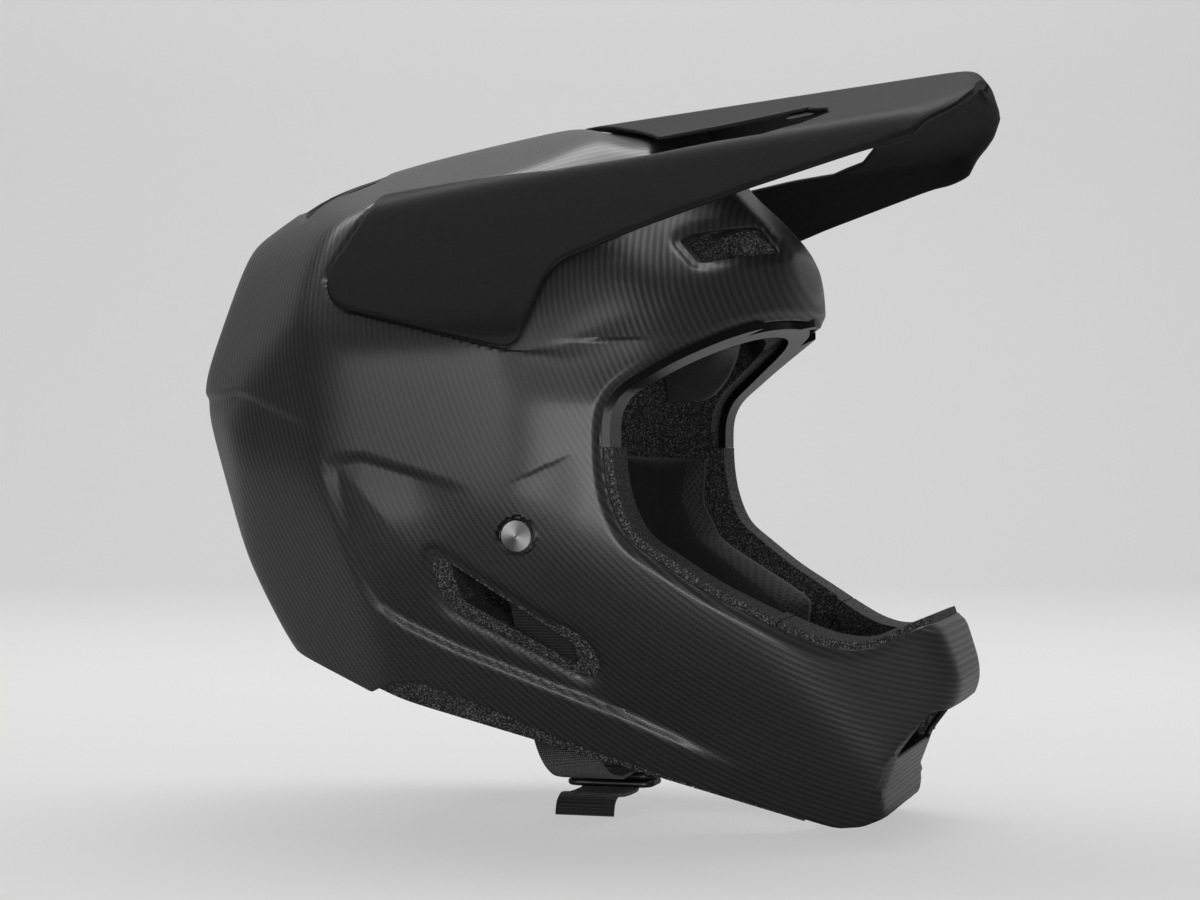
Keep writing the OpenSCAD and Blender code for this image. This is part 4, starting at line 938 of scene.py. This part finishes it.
# A thin black ring round each disc stands in for the shadow in the gap round it: painted shade made as a
# piece.
shadow_ring_turns = np.radians(np.arange(0, 360, 6))
shadow_ring_section = [(6.1, 0.0), (6.1, 0.3), (6.6, 0.3), (6.75, 0.15), (6.75, 0.0)]
for side, name in ((1, "left"), (-1, "right")):
    points = [(disc_centre[0] + r * math.cos(a), side * (disc_face + out), disc_centre[1] + r * math.sin(a))
              for a in shadow_ring_turns for r, out in shadow_ring_section]
    faces = [[i * 5 + k, i * 5 + (k + 1) % 5, (i + 1) % 60 * 5 + (k + 1) % 5, (i + 1) % 60 * 5 + k]
             for i in range(60) for k in range(5)]
    shadow_ring = put("disc_shadow_ring_" + name, new_mesh("disc_shadow_ring", points, faces), moulded_black)
brushed_steel, tree, shader = new_finish("brushed_steel", Metallic=1.0, Roughness=0.34)
place = add(tree, "ShaderNodeNewGeometry").outputs["Position"]
drawn = add(tree, "ShaderNodeMapping", place, None, None, (150.0, 2500.0, 2500.0)).outputs[0]
scratch = noise(tree, 1.0, 3.0, drawn)
tint(tree, shader, scratch, (0.25, 0.34), (0.75, 0.5))
bump(tree, shader, scratch, 0.02, 0.4)
dress(brushed_steel, "strap_anchor_left", "strap_anchor_right")

# Chin strap: 25 mm polyester webbing with fine cross ribs. The long strap passes round the near
# bars of two D-rings and its tail is folded and sewn; the short one carries the rings.
strap_x, strap_width, strap_wall = 30, 25, 1.6
rib_step, pick_step = 1.3, 0.9
anchor_y = half_width(np.array([42.5]), np.array([-46.0]), shell_wall)[0] - 0.3 - 1.5
strap_y = anchor_y - strap_wall / 2 - 0.3
ring_z, turn_r = -143.5, 1.5 * 2 + 0.5 + strap_wall / 2
ring_top, ring_foot = ring_z + turn_r, ring_z - turn_r
fall = [(strap_y, -29), (strap_y, -39), (strap_y - 1, -49), (strap_y - 9, -64), (70, -110), (58, -126),
        (40, -136)]


def curve_through(places, steps):
    """A smooth line through places, with this many steps between each two."""
    p = np.array(places, float)
    result = []
    for i in range(len(p) - 1):
        a, b, c, d = p[max(0, i - 1)], p[i], p[i + 1], p[min(len(p) - 1, i + 2)]
        for t in np.arange(steps) / steps:
            result.append(0.5 * (2 * b + (c - a) * t + (2 * a - 5 * b + 4 * c - d) * t ** 2
                                 + (3 * b - 3 * c + d - a) * t ** 3))
    return np.array(result + [p[-1]])


def ring_turn(bar):
    """The half turn of a strap round a bar of the rings."""
    angles = np.radians(np.arange(90, -91, -15))
    return [(bar - turn_r * math.cos(a), ring_z + turn_r * math.sin(a)) for a in angles]


long_line = np.vstack([curve_through(fall + [(20, ring_top - 0.5)], 10), ring_turn(-2),
                       curve_through([(8, ring_foot), (18, ring_foot + 0.5), (27, ring_foot + 1.5),
                                      (33, ring_foot - 1), (35, ring_foot - 6)], 8)])
short_line = np.vstack([curve_through(fall + [(32, ring_top + 2.2), (24, ring_top)], 10), ring_turn(16),
                        curve_through([(22, ring_foot), (32, ring_foot + 1.5)], 6)])
webbing_finish, tree, shader = new_finish("ribbed_webbing", Roughness=0.7, Sheen_Weight=0.25,
                                          Sheen_Roughness=0.35)
place = add(tree, "ShaderNodeSeparateXYZ", add(tree, "ShaderNodeUVMap", uv_map="webbing").outputs[0])
ribs = maths(tree, "SINE", maths(tree, "MULTIPLY", place.outputs[0], 2 * math.pi / rib_step))
rib_number = maths(tree, "FLOOR", maths(tree, "DIVIDE", place.outputs[0], rib_step))
shifted = total(tree, (rib_number, pick_step / 2), (place.outputs[1], 1.0))
picks = maths(tree, "SINE", maths(tree, "MULTIPLY", shifted, 2 * math.pi / pick_step))
weave = total(tree, (ribs, 0.5), (picks, 0.25))
tint(tree, shader, maths(tree, "MULTIPLY_ADD", weave, 0.5, 0.5), (0.1, 0.005), (0.5, 0.012), (0.95, 0.03))
bump(tree, shader, weave, 0.3, 0.8)


def webbing(name, line, side, node_name):
    """A strap: a rounded flat section swept along a line in the front view."""
    keep = np.concatenate([[True], np.linalg.norm(np.diff(line, axis=0), axis=1) > 0.05])
    line = line[keep]
    step = unit(np.gradient(line, axis=0))
    aside = np.column_stack([-step[:, 1], step[:, 0]])
    along = np.concatenate([[0], np.cumsum(np.linalg.norm(np.diff(line, axis=0), axis=1))])
    half, thick = strap_width / 2, strap_wall / 2
    edge = [(half - 0.5 + 0.5 * math.cos(a), thick * math.sin(a)) for a in np.radians((-60, -20, 20, 60))]
    section = edge + [(s, thick) for s in np.linspace(half - 1.2, -half + 1.2, 11)]
    section += [(-s, -t) for s, t in edge] + [(s, -thick) for s in np.linspace(-half + 1.2, half - 1.2, 11)]
    count = len(section)
    points, place = [], []
    for i, centre in enumerate(line):
        for s, t in section:
            y, z = centre + aside[i] * t
            points.append((strap_x + s, side * y, z))
            place.append((along[i], s))
    last = (len(line) - 1) * count
    faces = [[row + k, row + (k + 1) % count, row + count + (k + 1) % count, row + count + k]
             for row in range(0, last, count) for k in range(count)]
    faces += [list(range(count))[::-1], list(range(last, last + count))]
    piece = put(name, new_mesh(name, points, faces), webbing_finish, smooth=50)
    lay_map(piece, "webbing", np.array(place))
    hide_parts(node_name)
    return piece


webbing("short_strap", short_line, 1, "strap_left")
webbing("long_strap", long_line, -1, "strap_right")

# Visor: side panels, arms and hood in one satin black moulding, with a separate centre tongue
# that is screwed to a lap under its front. It turns on pegs in the side panels.
visor_wall, visor_proud, visor_power = 2.4, 1.6, 80
visor_side_d, visor_crown_d, visor_rear_d = 118.4, 125.5, 144
visor_ridge_d = (visor_crown_d + 4) * 2 ** (1 / visor_power) / math.sqrt(0.33 ** 2 + 0.112 ** 2 + 1)
visor_planes = both_sides([
    (90, 0, visor_side_d + visor_proud, 0), (91.3, 30.7, visor_side_d + 3.5 + visor_proud, 0),
    (112.8, 65.7, visor_crown_d - 0.9 + visor_proud, 0), (121, 0, visor_side_d + 11.5 + visor_proud, 0),
    (138.2, 41.3, visor_rear_d - 10 + visor_proud, 0), (ridge_turn, ridge_up, visor_ridge_d, 0),
    (0, 32, 237.5, 0), (45, 32, 214, 0), (180, -60, 120, 0), (0, -60, 120, 0)])
visor_side = [(-41, 96), (-54, 67), (-54, 65), (-42, 51.3), (24, 35.8), (27.5, 38.5), (34.5, 64), (40, 70),
              (70, 82.5), (107, 96), (150, 110), (162, 113.5), (174, 119), (184, 131), (194, 138), (200, 170),
              (-41, 170)]
visor_front = [(-70, 0), (-70, 130), (130, 130), (164, 84), (173, 75), (184, 57), (189.5, 37), (190, 0)]
arms_gap = [(-80, 0), (-80, 74), (-41, 78), (30, 81), (70, 79), (95, 76), (113, 75), (127, 69), (136, 54),
            (133, 42), (124, 37), (124, 0)]
tongue_half = [(20, 0), (25, 1.5), (38, 13), (52, 30), (62, 44), (66.5, 52), (94, 45.5), (122, 35), (133, 20),
               (140, 6), (141, 2), (141, 0)]
satin_black, tree, shader = new_finish("satin_black", Roughness=0.46, Specular_IOR_Level=0.2)
cloud = noise(tree, 90.0, 3.0)
grain = add(tree, "ShaderNodeTexVoronoi", None, None, 1900.0).outputs["Distance"]
tint(tree, shader, total(tree, (cloud, 0.7), (grain, 0.3)), (0.2, 0.009), (0.8, 0.016))
bump(tree, shader, grain, 0.03, 0.45)
fine = np.concatenate([np.arange(0, 62, 0.45), np.arange(62, 160, 0.6)])
visor_aim, visor_triangles = net(np.concatenate([fine, [180], 360 - fine[:0:-1]]),
                                 np.concatenate([np.arange(12, 72, 0.45), np.arange(72, 90, 0.9), [90]]))


def visor_piece(name, keep_of, top, wall):
    """A piece of the visor's skin, from a depth below its top surface to a wall under it."""
    points, normals = form(visor_aim, visor_planes, visor_power, top)
    table, triangles = cut(np.column_stack([points, normals]), visor_triangles,
                           keep_of(points[:, 0], np.abs(points[:, 1]), points[:, 2]))
    points, normals = table[:, :3], unit(table[:, 3:6])
    walls = wall(points) if callable(wall) else wall
    points, faces, _ = with_wall(points, normals, triangles, walls, 5)
    return make_piece(name, points, faces, satin_black, "visor", 30)


def hood_keep(x, y, z):
    """Where the hood is: within its outlines, and clear of the gap between the arms and of the tongue."""
    outline = np.minimum(outside_by(x, z, rounded(visor_side, 4)), np.hypot(x - pivot[0], z - pivot[1]) - 14)
    gap = np.where(z > 20, outside_by(x, y, arms_gap), 1e9)
    return np.minimum.reduce([-outline, -outside_by(x, y, rounded(visor_front, 6)), 200 - x, gap,
                              outside_by(x, y, tongue_half) - 1])


def hood_wall(points):
    """The wall is thicker along the front edge of the hood."""
    x, y = points[:, 0], np.abs(points[:, 1])
    return visor_wall + 1.8 * (1 - ease(-outside_by(x, y, visor_front), 1, 9)) * ease(x, 120, 150)


def lap_keep(x, y, _):
    """The lap is a band round the front of the tongue, under both."""
    from_tongue = outside_by(x, y, tongue_half)
    return np.minimum.reduce([6 - from_tongue, from_tongue + 7, x - 116, 60 - y])


hood = visor_piece("visor_shell", hood_keep, 0, hood_wall)
lap = visor_piece("visor_lap", lap_keep, 2.0, 1.6)
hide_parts("visor_hood")
tongue_piece = visor_piece("visor_tongue_plate", lambda x, y, z: -outside_by(x, y, tongue_half), 0, 1.8)
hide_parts("visor_tongue")
blackened_steel, tree, shader = mottled("blackened_steel", 700.0, (0.25, 0.06), (0.75, 0.12), Metallic=1.0,
                                        Roughness=0.4)
dress(blackened_steel, "tongue_screws", "d_rings")

# Pegs and guide pins of the visor are turned aluminium; the pegs run in pale moulded bushes.
turned_pin, tree, shader = mottled("turned_aluminium", 1200.0, (0.25, 0.4), (0.75, 0.55), detail=2.0,
                                   Metallic=1.0, Roughness=0.3)
dress(turned_pin, "visor_peg_left", "visor_peg_right", "guide_pin_left", "guide_pin_right")
pale_bush, tree, shader = mottled("pale_bush", 250.0, (0.2, (0.6, 0.57, 0.5)), (0.8, (0.68, 0.65, 0.57)),
                                  Roughness=0.5, Subsurface_Weight=0.05)
dress(pale_bush, "visor_bush_left", "visor_bush_right")

# Chin vent: a moulded frame in the mouth of the chin bar with a mesh behind it. The two vents
# high on the back have moulded louvres, clipped in from outside.
dress(moulded_black, "chin_vent_frame")
louvre_skin = carve("louvre_skin", closed_form(0.9, 2.4), [("take", closed_form(3, 2.4))])
for side, name in ((1, "left"), (-1, "right")):
    gaps = [("take", beside(grown(rear_vent, -1.9), side, y + 1.6, y + 5.2))
            for y in np.arange(26.3, 48, 5.2)]
    blank = beside(grown(rear_vent, -0.3), side, 26.3, 51.7)
    louvre = put("rear_louvre_" + name, carve("louvre", blank, gaps + [("keep", louvre_skin)]), moulded_black)
    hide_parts("rear_grille_" + name)
mesh_finish, tree, shader = mottled("vent_mesh", 500.0, (0.2, 0.02), (0.8, 0.045), Roughness=0.6)
bump(tree, shader, noise(tree, 1800.0, 2.0), 0.05, 0.5)
dress(mesh_finish, "chin_vent_mesh")

# Room: a pale board bent up into a wall behind the helmet, a soft light over it, one on its side,
# one low in front, and one for the wall.
floor_z = -0.158
stray_glow = 0.04


def pale_finish(name, colour, wall_glow, floor_glow):
    """Pale matt board; the camera also sees a glow on it, so that shadows stay light."""
    finish, tree, shader = new_finish(name, Roughness=0.9)
    seen = add(tree, "ShaderNodeLightPath").outputs["Is Camera Ray"]
    height = add(tree, "ShaderNodeSeparateXYZ", add(tree, "ShaderNodeTexCoord").outputs["Object"]).outputs[2]
    above = maths(tree, "SUBTRACT", height, floor_z)
    climb = maths(tree, "MINIMUM", maths(tree, "MULTIPLY", above, 25.0), 1.0)
    glow = maths(tree, "MULTIPLY_ADD", climb, wall_glow - floor_glow, floor_glow)
    strength = maths(tree, "MULTIPLY_ADD", seen, glow, stray_glow)
    tree.links.new(strength, shader.inputs["Emission Strength"])
    shader.inputs["Emission Color"].default_value = (1, 1, 1, 1)
    grain = noise(tree, 300.0, 2.0)
    tint(tree, shader, grain, (0.0, colour * 0.97), (1.0, colour))
    return finish


floor_mesh = bpy.data.meshes.new("floor")
bend = [(-1.6, 0.0)] + [(0.9 + 0.5 * math.sin(a), 0.5 - 0.5 * math.cos(a))
                        for a in np.linspace(0, math.pi / 2, 12)] + [(1.4, 2.6)]
turned = [(-camera_back[0] * d, -camera_back[1] * d, h + floor_z) for d, h in bend]
strip = [(p[0] + camera_right[0] * s, p[1] + camera_right[1] * s, p[2]) for p in turned for s in (-3, 3)]
floor_mesh.from_pydata(strip, [], [(2 * i, 2 * i + 1, 2 * i + 3, 2 * i + 2) for i in range(len(bend) - 1)])
floor_mesh.shade_smooth()
floor = bpy.data.objects.new("floor", floor_mesh)
bpy.context.scene.collection.objects.link(floor)
floor_mesh.materials.append(pale_finish("pale_floor", 0.3, 0.31, 0.43))


def soft_light(name, place, size, strength, aim_at=(0, 0, 0)):
    """An oblong lamp that faces a place."""
    lamp = bpy.data.lights.new(name, "AREA")
    lamp.shape, lamp.size, lamp.size_y, lamp.energy = "RECTANGLE", size[0], size[1], strength
    holder = bpy.data.objects.new(name, lamp)
    holder.location = place
    holder.rotation_euler = (Vector(aim_at) - Vector(place)).to_track_quat("-Z", "Y").to_euler()
    bpy.context.scene.collection.objects.link(holder)


behind = -camera_back
soft_light("wall_light", tuple(behind * 0.45 + (0, 0, 1.25)), (2.2, 0.6), 20, tuple(behind * 1.15))
soft_light("top_light", (0.15, 0.25, 1.35), (1.3, 0.9), 4.2)
soft_light("side_light", (-0.3, -2.05, 0.25), (1.1, 0.6), 6.5)
soft_light("front_light", (1.0, -1.7, -0.04), (1.0, 0.22), 9, (0.08, 0, -0.1))
world = bpy.data.worlds.new("room")
bpy.context.scene.world = world
world.use_nodes = True
background = world.node_tree.nodes["Background"]
background.inputs[0].default_value = (1, 1, 1, 1)
background.inputs[1].default_value = 0.1
bpy.context.scene.view_settings.view_transform = "Standard"

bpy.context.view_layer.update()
